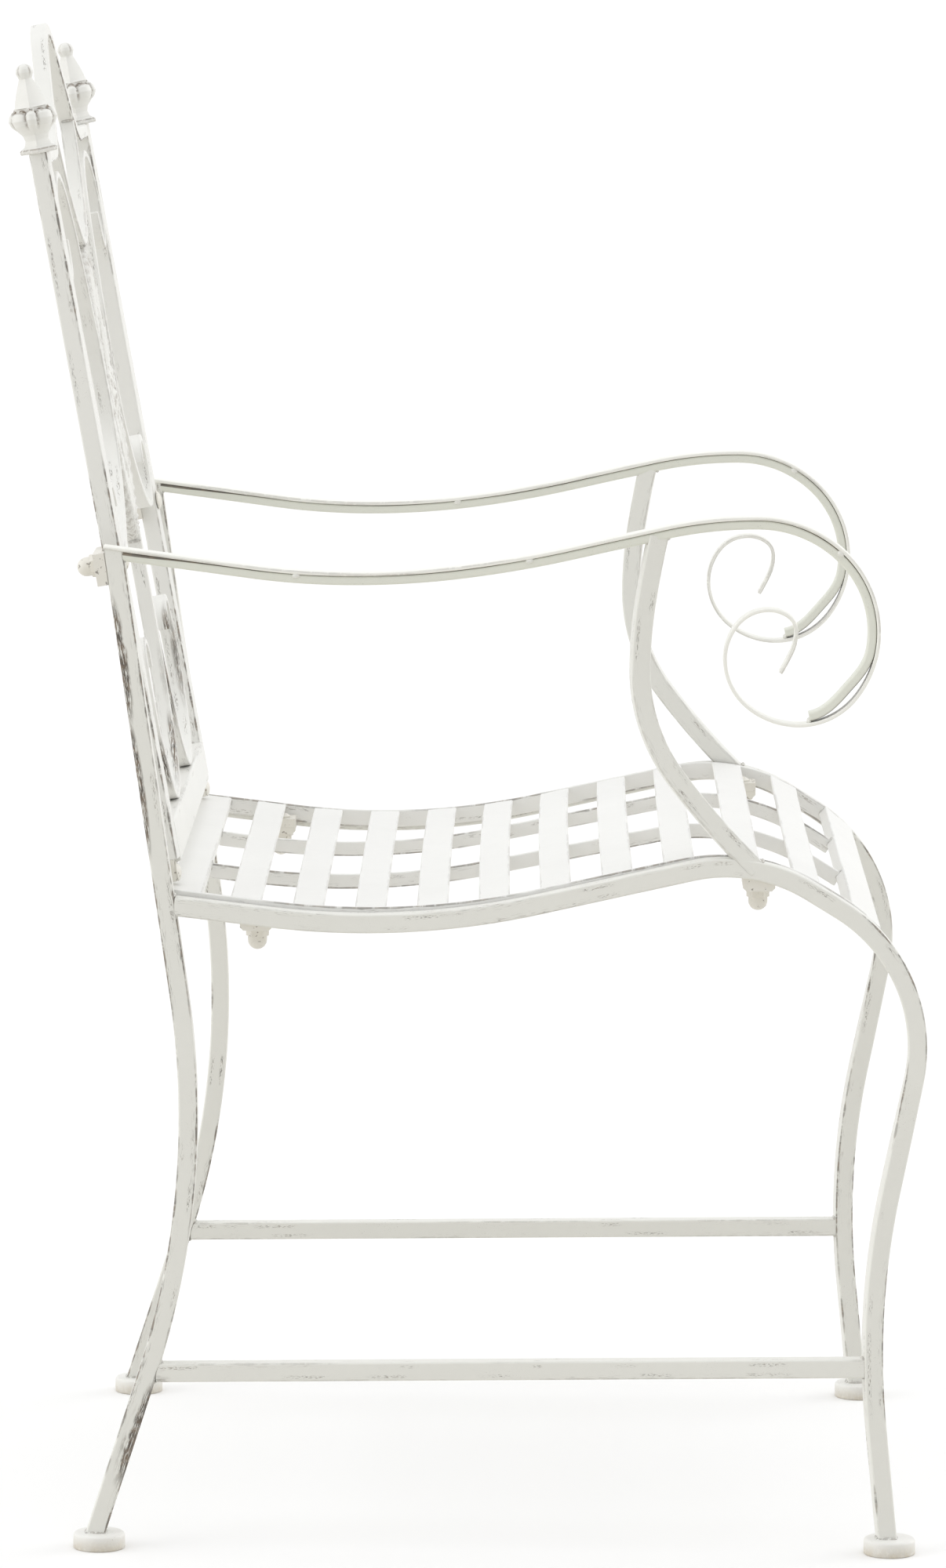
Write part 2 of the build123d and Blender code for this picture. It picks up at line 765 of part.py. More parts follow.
medallion_cutters = []
for side, hand in sides:
    with BuildPart() as back_post:
        with BuildSketch(panel):
            with Locations((hand * post_half, (post_bottom + post_top) / 2)):
                Rectangle(post, post_top - post_bottom)
        extrude(amount=post / 2, both=True)
        with Locations(post_plane(hand, back_bolt_up)):
            Cylinder(hole_radius, 2 * post, mode=Mode.SUBTRACT)
    save(back_post, f"{side}_back_post")

    with BuildPart() as finial:
        ball_mid = finial_neck[1] + sqrt(finial_ball**2 - finial_neck[0] ** 2)
        with BuildSketch(post_plane(hand, post_top)):
            with BuildLine():
                Polyline((0, 0), (finial_flange[0], 0), finial_flange)
                SagittaArc(finial_flange, finial_waist, -finial_cove_sag)
                SagittaArc(finial_waist, finial_bulge, finial_cup_sag)
                SagittaArc(finial_bulge, finial_shoulder, finial_roll_sag)
                Line(finial_shoulder, finial_neck)
                ThreePointArc(finial_neck, (finial_ball, ball_mid), (0, ball_mid + finial_ball))
                Line((0, ball_mid + finial_ball), (0, 0))
            make_face()
        revolve(axis=Axis(panel.from_local_coords((hand * post_half, post_top, 0)), panel.y_dir))
    save(finial, f"{side}_finial")

    with BuildPart() as back_scroll:
        with BuildSketch(panel if hand > 0 else panel_mirror):
            with BuildLine():
                draw_bar(back_scroll_line, half_thick, half_thick)
            make_face()
        extrude(amount=scroll_deep / 2, both=True)
        add(back_post.part, mode=Mode.SUBTRACT)
    save(back_scroll, f"{side}_back_scroll")

    with BuildPart() as neck:
        with BuildSketch(panel if hand > 0 else panel_mirror):
            with BuildLine():
                draw_bar(neck_line, half_thick, half_thick)
            make_face()
        extrude(amount=scroll_deep / 2, both=True)
        add(crest_rail.part, mode=Mode.SUBTRACT)
    save(neck, f"{side}_back_neck")
    medallion_cutters += [back_scroll.part, neck.part]

with BuildPart() as medallion:
    with BuildSketch(panel):
        with Locations((0, medallion_mid)):
            Ellipse(medallion_half_wide, medallion_half_high)
    extrude(amount=medallion_thick / 2, both=True)
    with BuildSketch(panel.offset(medallion_thick / 2)):
        with Locations((0, medallion_mid)):
            Ellipse(medallion_half_wide, medallion_half_high)
            Ellipse(
                medallion_half_wide - medallion_rim, medallion_half_high - medallion_rim, mode=Mode.SUBTRACT
            )
    extrude(amount=medallion_rim_high)
    add(medallion_cutters, mode=Mode.SUBTRACT)
save(medallion, "back_medallion")

for side, hand in sides:
    with BuildPart() as lower_loop:
        with BuildSketch(panel if hand > 0 else panel_mirror):
            with BuildLine():
                draw_bar(loop_line, half_thick, half_thick)
            make_face()
        extrude(amount=scroll_deep / 2, both=True)
        add([medallion.part, bottom_rail.part], mode=Mode.SUBTRACT)
    save(lower_loop, f"{side}_lower_loop")

with BuildPart() as back_lugs:
    for side, hand in sides:
        with BuildSketch(panel):
            with Locations((hand * post_half, (corner_lug_low + post_bottom) / 2)):
                Rectangle(corner_lug_wide, post_bottom - corner_lug_low)
        extrude(amount=corner_lug_thick / 2, both=True)
        with Locations(post_plane(hand, corner_bolt_up)):
            Cylinder(hole_radius, 2 * corner_lug_thick, mode=Mode.SUBTRACT)
save(back_lugs, "back_lugs")

with BuildPart() as back_bolts:
    for side, hand in sides:
        bolt(post_plane(hand, back_bolt_up), post / 2, post + back_tab_thick + nut_thread)
save(back_bolts, "back_bolts")

with BuildPart() as back_nuts:
    for side, hand in sides:
        domed_nut(post_plane(hand, back_bolt_up), -post / 2 - back_tab_thick)
save(back_nuts, "back_nuts")

with BuildPart() as corner_bolts:
    for side, hand in sides:
        bolt(post_plane(hand, corner_bolt_up), corner_lug_thick / 2, corner_lug_thick + corner_tab_thick)
save(corner_bolts, "corner_bolts")
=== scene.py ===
from math import atan2, cos, degrees, exp, pi, radians, sin, sqrt, tan

import bmesh
import bpy
from bpy.props import FloatProperty, FloatVectorProperty, IntProperty, PointerProperty
from mathutils import Matrix, Vector


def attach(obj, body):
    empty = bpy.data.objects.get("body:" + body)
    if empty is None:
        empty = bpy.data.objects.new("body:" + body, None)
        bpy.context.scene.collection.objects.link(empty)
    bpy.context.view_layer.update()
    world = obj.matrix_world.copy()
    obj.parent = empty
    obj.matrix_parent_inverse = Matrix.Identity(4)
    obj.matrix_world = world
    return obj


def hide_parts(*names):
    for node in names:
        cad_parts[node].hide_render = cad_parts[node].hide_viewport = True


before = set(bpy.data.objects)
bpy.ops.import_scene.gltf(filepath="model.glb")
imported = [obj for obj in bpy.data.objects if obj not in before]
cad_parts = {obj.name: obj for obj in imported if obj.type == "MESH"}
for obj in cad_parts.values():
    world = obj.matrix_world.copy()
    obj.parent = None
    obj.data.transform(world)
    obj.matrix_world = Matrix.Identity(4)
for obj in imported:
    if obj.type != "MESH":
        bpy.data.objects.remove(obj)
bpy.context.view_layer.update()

bl_info = {
    "name": "Garden armchair looks",
    "version": (1, 0, 0),
    "blender": (4, 5, 0),
    "location": "View3D > Sidebar > Armchair",
    "description": "Rounded bars, scrolls, finials, welds and worn paint for a garden armchair on its CAD frame",
    "category": "Object",
}

MM = 0.001
BODY = "root"
SIDES = (("right", -1), ("left", 1))

# Side frames, in millimetres: (y, z) points where the straight runs of each bar would meet
BAR = 12.5
FRAME_HALF = 250.0
FOOT_RADIUS = 17.0
FOOT_HIGH = 10.5
FOOT_PLACES = {"rear": 240.0, "front": -280.0}
FOOT_SOLE_RADIUS = 14.0
FOOT_LOW_ROUND = 0.9
FOOT_TOP_ROUND = 2.2
FOOT_STEPS = 6
REAR_FOOT_Y = 245.5
REAR_BEND = (168.6, 240.6)
REAR_BEND_RADIUS = 560.0
LEG_TOP = (231.0, 664.0)
FRONT_FOOT_Y = -279.0
ANKLE = (-261.7, 165.0)
ANKLE_RADIUS = 525.0
KNEE = (-307.0, 389.0)
KNEE_RADIUS = 108.0
CREST = (-187.0, 462.0)
CREST_RADIUS = 104.0
DIP = (41.0, 410.0)
DIP_RADIUS = 520.0
RAIL_REAR_Z = 428.0
STRETCHER_REAR_Z = 118.0
STRETCHER_FRONT_Z = 124.5

# What each bar is narrower than the one it runs into, and how far it runs in
TUCK = 0.2
RUN_IN = 1.0

# Turns of hand-bent bars as shares of the twist, and the share of the front leg where its turn comes in
LEG_TURN_SPAN = (0.38, 0.27)
SUPPORT_TURNS = {"right": -1.0, "left": 0.6}
POST_TURN = -0.9

# Arms, in millimetres
STRIP_WIDE = 14.0
STRIP_THICK = 2.5
ARM_BAR_THICK = 6.0
ARM_REAR_Z = 661.1
ARM_BEND = (141.0, 649.5)
ARM_LOW = (78.0, 645.5)
ARM_RISE = (-66.0, 663.0)
ARM_RISE_ANGLE = 167.0
ARM_PEAK = (-187.0, 683.5)
SCROLL_FRONT = (-265.5, 609.0)
SCROLL_BOTTOM = (-214.0, 549.0)
SCROLL_BACK = (-166.0, 592.0)
SCROLL_TOP = (-194.0, 624.0)
SCROLL_INNER = (-212.0, 610.0)
SCROLL_TIP = (-202.0, 583.0)
SCROLL_TIP_ANGLE = 300.0
ARM_BAR_END_RATIO = 0.82
SUPPORT_TOP_Y = -122.0
SUPPORT_TOP_ANGLE = 282.0
SUPPORT_BACK = (-111.0, 585.0)
SUPPORT_FOOT_Y = -188.0
SUPPORT_FOOT_ANGLE = 224.0

# Slit in the scroll, as lengths back from the end of the arm bar, and the share of it left open at the end
SLIT_START = 62.0
SLIT_WIDEST = 30.0
SLIT_END = 0.2

# Seat panel, in millimetres
SEAT_CLEAR = 0.75
SEAT_LIFT = 3.4
SEAT_CREST_LIFT = 1.8
SEAT_CREST_RADIUS = 118.0
SEAT_START = 0.5
SIDE_BAR_THICK = 4.0
SIDE_BAR_HIGH = 12.0
LONG_BAR_THICK = 4.0
LONG_BAR_HIGH = 10.0
LONG_BAR_REAR_Z = 429.4
LONG_BAR_DIP = (67.0, 413.7)
LONG_BAR_DIP_RADIUS = 510.0
LONG_BAR_CREST = (-182.0, 464.8)
LONG_BAR_CREST_RADIUS = 144.0
LONG_BAR_FRONT = (-294.0, 394.5)
SLAT_COUNT = 10
SLAT_WIDTH = 20.5
SLAT_THICK = 2.5
SLAT_DROP = 0.5
SLAT_BITE = 0.3
SLAT_PITCH = 41.0
FIRST_SLAT = 51.0
SLAT_STEP = 30.0
CROSS_BAR_THICK = 8.0
REAR_BAR_WIDTH = 22.0
FRONT_BAR_WIDTH = 25.0
FRONT_BAR_GAP = 33.5

# Back panel, in millimetres: (across, up the slope) from a base line over the seat
POST = 12.0
POST_INSET = 35.0
PANEL_BASE_Z = 448.0
POST_FORE = 4.8
POST_AFT = 2.8
POST_BOTTOM = 5.0
POST_TOP = 474.5
BACK_BOLT_UP = 204.0
SCROLL_THICK = 5.0
SCROLL_DEEP = 10.0
WELD_BITE = 0.4
BOTTOM_RAIL_LOW = 2.0
BOTTOM_RAIL_TOP = 29.5
BOTTOM_RAIL_FORE = 6.8
BOTTOM_RAIL_AFT = 4.5
CREST_RAIL_THICK = 9.0
CREST_RAIL_DEEP = 11.0
CREST_LEVEL = 470.0
CREST_SHOULDER = 114.0
CREST_SHOULDER_RADIUS = 60.0
CREST_APEX = 565.7
CREST_APEX_RADIUS = 58.0
MEDALLION_HALF_WIDE = 46.0
MEDALLION_BOTTOM = 197.0
NECK_LEVEL = 403.0
NECK_FOOT = 97.0
NECK_FOOT_ANGLE = 237.0
NECK_BEND = (60.0, 432.0)
NECK_BEND_ANGLE = 222.0
SCROLL_WAIST = 300.0
UPPER_SIDE = 412.0
LOWER_SIDE = 229.0
LOOP_TURN = 150.0
LOOP_LOW = 88.0
LOOP_SIDE = (160.0, 104.0)
LOOP_TOP = (138.0, 142.0)
LOOP_TIP = (119.0, 122.0)
UPPER_TIP = (41.0, 414.0)
UPPER_BASE = (22.0, 390.0)
UPPER_TOP = (59.0, 456.0)
UPPER_FLANK = (32.0, 402.0)
UPPER_FLANK_ANGLE = 246.0
LOWER_FLANK = (36.0, 243.0)
LOWER_FLANK_ANGLE = 322.0
LOWER_BASE = (29.0, 206.0)
LOWER_TOP = (26.0, 252.0)
LOWER_TIP = (43.0, 236.0)
NECK_NODES = ("right_back_neck", "left_back_neck")

# Finials, in millimetres: (height over the post, radius at an edge, squareness) up the outline
FINIAL_LINE = (
    (0.0, 11.6, 1.0),
    (0.9, 12.3, 1.0),
    (2.4, 12.2, 1.0),
    (3.2, 11.2, 1.0),
    (5.0, 8.6, 0.95),
    (8.5, 7.5, 0.85),
    (12.0, 8.4, 0.75),
    (15.5, 11.4, 0.45),
    (18.5, 14.6, 0.15),
    (22.2, 16.1, 0.0),
    (26.0, 15.0, 0.0),
    (28.6, 12.4, 0.2),
    (30.6, 10.6, 0.7),
    (34.0, 9.7, 0.9),
    (40.0, 7.8, 0.95),
    (46.0, 5.4, 0.9),
    (48.6, 4.3, 0.6),
    (50.0, 4.9, 0.2),
    (52.6, 5.8, 0.0),
    (54.8, 5.4, 0.0),
    (56.6, 4.2, 0.0),
    (57.8, 2.5, 0.0),
    (58.4, 0.0, 0.0),
)
FINIAL_BULGE = (15.0, 30.0)
FINIAL_FOOT = (2.2, 3.2)
FINIAL_CORE = 11.4
FINIAL_BALL = 49.5

# Finial relief: power of the square parts (1 square, 2 round), half angle of a leaf, and shares of height and radius
FINIAL_SQUARE = 1.04
FINIAL_LEAF = 0.27
FINIAL_RIM = 0.62
FINIAL_LEAF_TALL = 0.24
FINIAL_LOBE_TALL = 0.20
FINIAL_LOBE_FULL = 0.96
FINIAL_GROOVE = 0.80
FINIAL_BUD_GROOVE = 0.10

# Medallion relief: heights in millimetres, and shares of its radius where each ring of ornament lies
MEDALLION_PLATE = 2.6
MEDALLION_GROUND = 0.55
MEDALLION_RIM = 0.90
RIM_FOOT = 1.2
RIM_HIGH = 4.8
CORD_DEEP = 0.18
CORD_TURNS = 4
CORD_SLANT = 5.0
LEAF_RIBS = 26.0
LEAF_VEIN = 0.07
LEAF_VEIN_DEEP = 0.7
MEDALLION_BOSS = 0.22
BUD_HIGH = 4.2
BUD_DEEP = 0.12
BUD_LOBES = 8

# Rings of leaves on the medallion: from, to, offset in leaves, and height
MEDALLION_LEAVES = ((0.50, 0.90, 0.0, 2.6), (0.20, 0.58, 0.5, 3.4))

# Tack welds along the arms, in millimetres: y places, half length, drop under the strip and sink into the bar
OUTER_TACKS = (112.0, -39.0, -240.0)
INNER_TACKS = (13.0, -226.0)
TACK_HALF = 2.6
TACK_DROP = 1.0
TACK_SINK = 0.8

# Weld beads: form of a bead as shares of its radius, and half lengths as shares of the bar they lie on
BEAD_POINTS = 10
BEAD_FULLNESS = 0.35
BEAD_TIP = 0.25
BEAD_STEP = 0.5
BEAD_LUMPS = 420.0
BEAD_LUMP_HIGH = 0.7
BEAD_STAIN = 0.45
SEAT_WELD = 0.6
BACK_WELD = 0.8
FRAME_BEAD = 0.86
TIP_BEAD = 0.4
CROSS_BEAD = 0.42
SLAT_BEAD = 0.36
BACK_BEAD = 0.46

# Places of weld beads, in millimetres from where two bars touch
ARM_BEAD_DROP = 0.9
SLAT_BEAD_LIFT = 0.2
TOUCH_BEAD = 6.0
WAIST_BEAD = 7.0
NECK_BEAD = 9.0
NECK_BEAD_DROP = 0.5

# Meshes: points round a bar, the largest corner as a share of its thickness, sharp angles in degrees, and distances
# to merge in millimetres
SECTION_POINTS = 24
MOST_CORNER = 0.45
BAR_SHARP = 40.0
CUT_SHARP = 60.0
CAST_SHARP = 55.0
FITTING_SHARP = 40.0
CAST_MERGE = 0.004
FITTING_MERGE = 0.01

# Where the wear of each bar starts along its noise, so that no two bars wear alike
SEEDS = {
    "rear_leg": 0.0,
    "front_leg": 1.0,
    "stretcher": 2.0,
    "arm_support": 3.0,
    "arm_strip": 5.0,
    "arm_bar": 7.0,
    "seat_side_bar": 9.0,
    "seat_long_bar": 11.0,
    "seat_row": 13.0,
    "back_post": 17.0,
    "back_scroll": 19.0,
    "lower_loop": 22.0,
    "back_neck": 29.0,
    "crest_rail": 31.0,
    "back_bottom_rail": 37.0,
}
HAND_SEED = 0.37

# Paint: tints of some finishes (a painted highlight on the arm strip, painted shade on the arm bar under it), noise
# scales, and how it spreads, lifts and shines
HIGHLIGHT_AND_SHADE_TINTS = {"seam": (0.95, 0.965, 0.92), "strip": (1.13, 1.13, 1.13)}
PALE_SPREAD = (0.95, 1.045)
TONE_SCALE = 16.0
BRUSH_SCALE = 160.0
GRAIN_SCALE = 1300.0
BRUSH_SHARE = 0.35
GRAIN_LIFT = 0.25
BRUSH_LIFT = 0.35
WEAR_DROP = 0.6
BUMP = 0.3
PAINT_THICK = 0.4
ROUGHNESS = (0.42, 0.70)
BROWN = (0.4, 0.65)
CAST_BROWN = (0.3, 0.5)
# Feet: mark, top height and noise levels of a yellowish, darker band along their bottom rim
FOOT_LOW_RIM_MARK = 0.7
FOOT_LOW_RIM_HIGH = 1.2
LOW_RIM_RAMP = (0.25, 0.75, 0.35, 0.9)
DOT_LEVELS = (0.66, 0.72)

# Wear as noise masks: scale, detail and roughness, and the levels where a mask starts and is full
MASKS = {
    "fitting_chip": (280.0, 3.0, 0.6, 0.61, 0.67),
    "fleck": (420.0, 3.0, 0.65, 0.34, 0.54),
    "dot_field": (34.0, 2.0, 0.5, 0.52, 0.68),
    "line_broken": (110.0, 4.0, 0.65, 0.32, 0.52),
    "line_field": (9.0, 3.0, 0.5, 0.45, 0.56),
    "stroke": (2300.0, 2.0, 0.55, 0.57, 0.66),
    "stroke_field": (9.0, 2.0, 0.5, 0.50, 0.62),
    "rubbed": (2100.0, 3.0, 0.6, 0.42, 0.48),
    "chips": (2300.0, 3.0, 0.6, 0.52, 0.60),
    "chip_field": (24.0, 2.0, 0.5, 0.55, 0.64),
}

# Amounts of wear, with (lines, strokes) for plain and calm bars, and the lines of the rail before and after a length
FITTING_WEAR = 0.7
FOOT_WEAR = 0.18
DOT_WEAR = 0.4
FLAT_WEAR = 0.25
CHIP_WEAR = 0.75
BAR_WEAR = (0.85, 0.6)
CALM_WEAR = (0.25, 0.3)
RAIL_WEAR = (0.85, 0.15)
RAIL_CALM = (420.0, 520.0)

# Bands of wear beside a corner, in millimetres: ragged ones as noise scale, reach, full up to and gone beyond
LANE_APART = 3.7
LINE_BAND = (60.0, 2.2, -0.15, 0.2)
RUBBED_BAND = (70.0, 11.0, -1.4, 0.8)
STROKE_BAND = (1.0, 5.0)
CHIP_BAND = (0.3, 1.7)
CHIPS_FROM_CORNER = 3.0
STREAK = 0.06
CHIP_STREAK = 0.16

# Dark seam under the arm strip: a wedge at the rear as (from, to, deep, shallow), a rough depth, and its soft edge
SEAM_WEDGE = (10.0, 75.0, 1.2, -0.3)
SEAM_SCALE = 16.0
SEAM_DEEP = 1.2
SEAM_EDGE = (-0.1, 0.35, 0.9)

# Places rubbed hard by hands and feet: middle and half sizes of an oval in millimetres, and its lean in degrees
RUBBED = (
    ((-250.0, 226.0, 588.0), (25.0, 7.0, 52.0), 8.4),
    ((-250.0, 213.5, 505.0), (25.0, 4.5, 55.0), 8.4),
    ((-250.0, 212.0, 80.0), (25.0, 11.0, 48.0), -22.0),
    ((80.0, 209.0, 546.0), (110.0, 6.0, 50.0), 10.4),
    ((-90.0, 203.0, 512.0), (95.0, 4.5, 32.0), 10.4),
)

# Camera: place in metres, turns in degrees, and focal length in pixels of the photograph
PHOTO_HIGH = 2000.0
CAMERA_PLACE = (-5.18422, -0.04488, 1.14576)
CAMERA_YAW = -0.48375548
CAMERA_PITCH = 7.35806647
CAMERA_ROLL = -0.33888683
CAMERA_FOCAL = 9762.2
CAMERA_FAR = 400.0

# Lights in degrees: how broad each is and how far the side lights tilt; half size of the floor in metres
TOP_SPREAD = 80.0
SIDE_SPREAD = 60.0
SIDE_TILT = 78.0
FLOOR_HALF = 150.0


# Properties
def plain_property(name, description, value):
    return FloatProperty(name=name, description=description, default=value)


def length_property(name, description, value):
    """Length, given in millimetres."""
    return FloatProperty(name=name, description=description, default=value * MM, unit="LENGTH")


def level_property(name, description, value, **limits):
    return FloatProperty(name=name, description=description, default=value, min=0.0, **limits)


def colour_property(name, description, *value):
    return FloatVectorProperty(name=name, description=description, subtype="COLOR", default=value)


def count_property(name, description, value, least):
    return IntProperty(name=name, description=description, default=value, min=least)


class ArmchairSizes(bpy.types.PropertyGroup):
    """Sizes that a user would change without touching the frame."""

    corner: length_property("Bar corner", "Corner radius of the square bars", 1.6)
    strip_corner: length_property("Strip corner", "Corner radius of strips and slats", 1.0)
    arm_round: length_property("Arm bar corner", "Corner radius of the arm bars", 1.9)
    end_round: length_property("End round", "Rounding of cut bar ends", 0.6)
    step: length_property("Step", "Distance between sections along a bar", 3.0)
    weld: length_property("Weld", "Radius of a weld bead", 1.3)
    tack: length_property("Tack", "Radius of a tack weld", 1.9)
    twist: plain_property("Twist", "Turn of the legs, supports and posts on their own lines, in degrees", 9.0)
    leaves: count_property("Leaves", "Leaves round the medallion", 14, 6)


class ArmchairPaint(bpy.types.PropertyGroup):
    """Colours of the paint and of what shows where it has worn away."""

    frame_paint: colour_property("Frame paint", "Paint of the side frames", 0.79, 0.79, 0.75)
    seat_paint: colour_property("Seat paint", "Paint of the seat panel", 0.83, 0.83, 0.81)
    back_paint: colour_property("Back paint", "Paint of the back panel", 0.80, 0.80, 0.77)
    fitting_paint: colour_property("Fitting paint", "Paint of tabs and nuts", 0.78, 0.76, 0.70)
    foot_paint: colour_property("Foot paint", "Paint of the disc feet", 0.82, 0.815, 0.785)
    bare: colour_property("Bare metal", "Dark metal under the paint", 0.115, 0.10, 0.085)
    rust: colour_property("Brown stain", "Stain in hollows and round welds", 0.21, 0.165, 0.125)
    # Yellowish, darker colour of a band along the bottom rim of the feet
    low_rim_tint: colour_property("Low_rim_tint", "Yellowish paint near the floor", 0.60, 0.53, 0.40)
    wear: level_property("Wear", "How much paint has gone", 1.0, max=2.0)
    seat_wear: level_property("Seat wear", "How much paint has gone from the seat", 0.8, max=2.0)


class ArmchairStage(bpy.types.PropertyGroup):
    """Floor and light round the chair."""

    floor: colour_property("Floor", "Colour of the floor", 0.95, 0.95, 0.95)
    bounce: colour_property("Bounce", "Colour that the floor sends back up", 0.77, 0.75, 0.70)
    sky: level_property("Sky", "Level of light from all round", 0.60)
    top: level_property("Top", "Level of light from above", 1.05)
    front: level_property("Front", "Level of light from the front", 1.3)
    front_turn: plain_property("Front turn", "Turn of the front light towards the sitter's left, in degrees", 18.0)
    rear: level_property("Rear", "Level of light from the rear", 1.3)
    rear_turn: plain_property("Rear turn", "Turn of the rear light towards the sitter's right, in degrees", 12.0)


# Flat lines: chains of knots (point, direction), with an arc or a straight run between two knots
def heading(angle):
    return Vector((cos(radians(angle)), sin(radians(angle))))


def left_of(direction):
    return Vector((-direction.y, direction.x))


def turn_between(a, b):
    return atan2(a.x * b.y - a.y * b.x, a.dot(b))


def bent(points, radii):
    """Straight runs between the points, with an arc of its own radius at each inner one."""
    points = [Vector(p) for p in points]
    ahead = (points[1] - points[0]).normalized()
    knots = [(points[0], ahead)]
    for before, corner, after, radius in zip(points, points[1:], points[2:], radii):
        back = (before - corner).normalized()
        ahead = (after - corner).normalized()
        reach = radius / tan(back.angle(ahead) / 2)
        knots += [(corner + back * reach, -back), (corner + ahead * reach, ahead)]
    return knots + [(points[-1], ahead)]


def curled(stations):
    """Two tangent arcs between each pair of stations, given as (point, heading angle)."""
    knots = [(Vector(stations[0][0]), heading(stations[0][1]))]
    for (p, a), (q, b) in zip(stations, stations[1:]):
        start, end = Vector(p), Vector(q)
        leave, arrive = heading(a), heading(b)
        span = end - start
        along = span.dot(leave + arrive)
        spread = 2 * (1 - leave.dot(arrive))
        if spread < 1e-9:
            reach = span.dot(span) / (2 * along)
        else:
            reach = (sqrt(along * along + spread * span.dot(span)) - along) / spread
        joint = (start + end + (leave - arrive) * reach) / 2
        chord = (joint - start).normalized()
        knots += [(joint, chord * (2 * chord.dot(leave)) - leave), (end, arrive)]
    return knots


def arc_length(first, second):
    chord = (second[0] - first[0]).length
    half = abs(turn_between(first[1], second[1])) / 2
    return chord * (half / sin(half) if half > 1e-6 else 1.0)


def on_arc(first, second, share):
    """Knot at a share of the way along the arc between two knots."""
    (p, d), (q, e) = first, second
    turn = turn_between(d, e)
    if abs(turn) < 1e-6:
        return p.lerp(q, share), d.copy()
    radius = (q - p).length / (2 * sin(turn / 2))
    swing = turn * share
    out = d * sin(swing) + left_of(d) * (1 - cos(swing))
    return p + out * radius, d * cos(swing) + left_of(d) * sin(swing)


def meet(knots, axis, value):
    """First knot on a chain where its y (axis 0) or z (axis 1) has a value."""
    for first, second in zip(knots, knots[1:]):
        low, high = 0.0, 1.0
        rising = on_arc(first, second, high)[0][axis] > on_arc(first, second, low)[0][axis]
        ends = sorted((first[0][axis], second[0][axis]))
        if not ends[0] <= value <= ends[1]:
            continue
        for step in range(40):
            middle = (low + high) / 2
            if (on_arc(first, second, middle)[0][axis] < value) == rising:
                low = middle
            else:
                high = middle
        return on_arc(first, second, low)
    raise ValueError("the line does not reach that place")


def corners(spot, way, face_way, half):
    """Two flat points where the sides of a bar that ends at a spot meet the face it ends on."""
    across, out = left_of(way), left_of(face_way)
    return [spot + (across - way * (across.dot(out) / way.dot(out))) * reach for reach in (half, -half)]


def chain_length(knots):
    return sum(arc_length(a, b) for a, b in zip(knots, knots[1:]))


def at_length(knots, length):
    """Knot at a length along a chain."""
    for first, second in zip(knots, knots[1:]):
        run = arc_length(first, second)
        if length <= run or second is knots[-1]:
            return on_arc(first, second, min(1.0, length / run))
        length -= run


def stretch(knots, start, stop):
    """The part of a chain between two lengths."""
    inner = []
    passed = 0.0
    for first, second in zip(knots, knots[1:]):
        if start < passed < stop:
            inner.append(first)
        passed += arc_length(first, second)
    return [at_length(knots, start)] + inner + [at_length(knots, stop)]


def beside(knots, reach):
    """The chain moved to its left by a distance."""
    return [(p + left_of(d) * reach, d) for p, d in knots]


# Lines of the side frames
rear_leg = bent([(REAR_FOOT_Y, 0), REAR_BEND, LEG_TOP], [REAR_BEND_RADIUS])


def leg_at(z):
    return meet(rear_leg, 1, z)[0].x


front_leg = bent(
    [(FRONT_FOOT_Y, 0), ANKLE, KNEE, CREST, DIP, (leg_at(RAIL_REAR_Z), RAIL_REAR_Z)],
    [ANKLE_RADIUS, KNEE_RADIUS, CREST_RADIUS, DIP_RADIUS],
)
rail = front_leg[4:]
run_in = BAR / 2 - RUN_IN
front_leg = stretch(front_leg, 0, chain_length(front_leg) - run_in)
leg_front_face = beside(rear_leg, BAR / 2)
leg_rear_face = beside(front_leg, -BAR / 2)
rail_top_face = beside(rail, BAR / 2)
stretcher_ends = [meet(rear_leg, 1, STRETCHER_REAR_Z)[0], meet(front_leg, 1, STRETCHER_FRONT_Z)[0]]
stretcher = bent(stretcher_ends, [])
stretcher = stretch(stretcher, run_in, chain_length(stretcher) - run_in)
arm_rear = Vector((leg_at(ARM_REAR_Z), ARM_REAR_Z))
arm_slope = degrees(atan2(arm_rear.y - ARM_BEND[1], arm_rear.x - ARM_BEND[0]))
arm_way = heading(180 + arm_slope)
arm_end = arm_rear - arm_way * (BAR / 2 / cos(radians(arm_slope)))
arm = [(arm_rear, arm_way)] + curled(
    [
        (ARM_BEND, 180 + arm_slope),
        (ARM_LOW, 180),
        (ARM_RISE, ARM_RISE_ANGLE),
        (ARM_PEAK, 180),
        (SCROLL_FRONT, 270),
        (SCROLL_BOTTOM, 0),
    ]
)
curl = curled(
    [
        (SCROLL_BOTTOM, 0),
        (SCROLL_BACK, 90),
        (SCROLL_TOP, 180),
        (SCROLL_INNER, 270),
        (SCROLL_TIP, SCROLL_TIP_ANGLE),
    ]
)
arm_under_face = beside(arm, STRIP_THICK / 2 + ARM_BAR_THICK)
arm_bar = arm[:-1] + [on_arc(arm[-2], arm[-1], ARM_BAR_END_RATIO)]
arm_bar = stretch(arm_bar, run_in, chain_length(arm_bar))
support_top = meet(arm, 0, SUPPORT_TOP_Y)[0] - Vector((0, (STRIP_THICK + ARM_BAR_THICK) / 2))
support = curled(
    [
        (support_top, SUPPORT_TOP_ANGLE),
        (SUPPORT_BACK, 270),
        (meet(rail, 0, SUPPORT_FOOT_Y)[0], SUPPORT_FOOT_ANGLE),
    ]
)

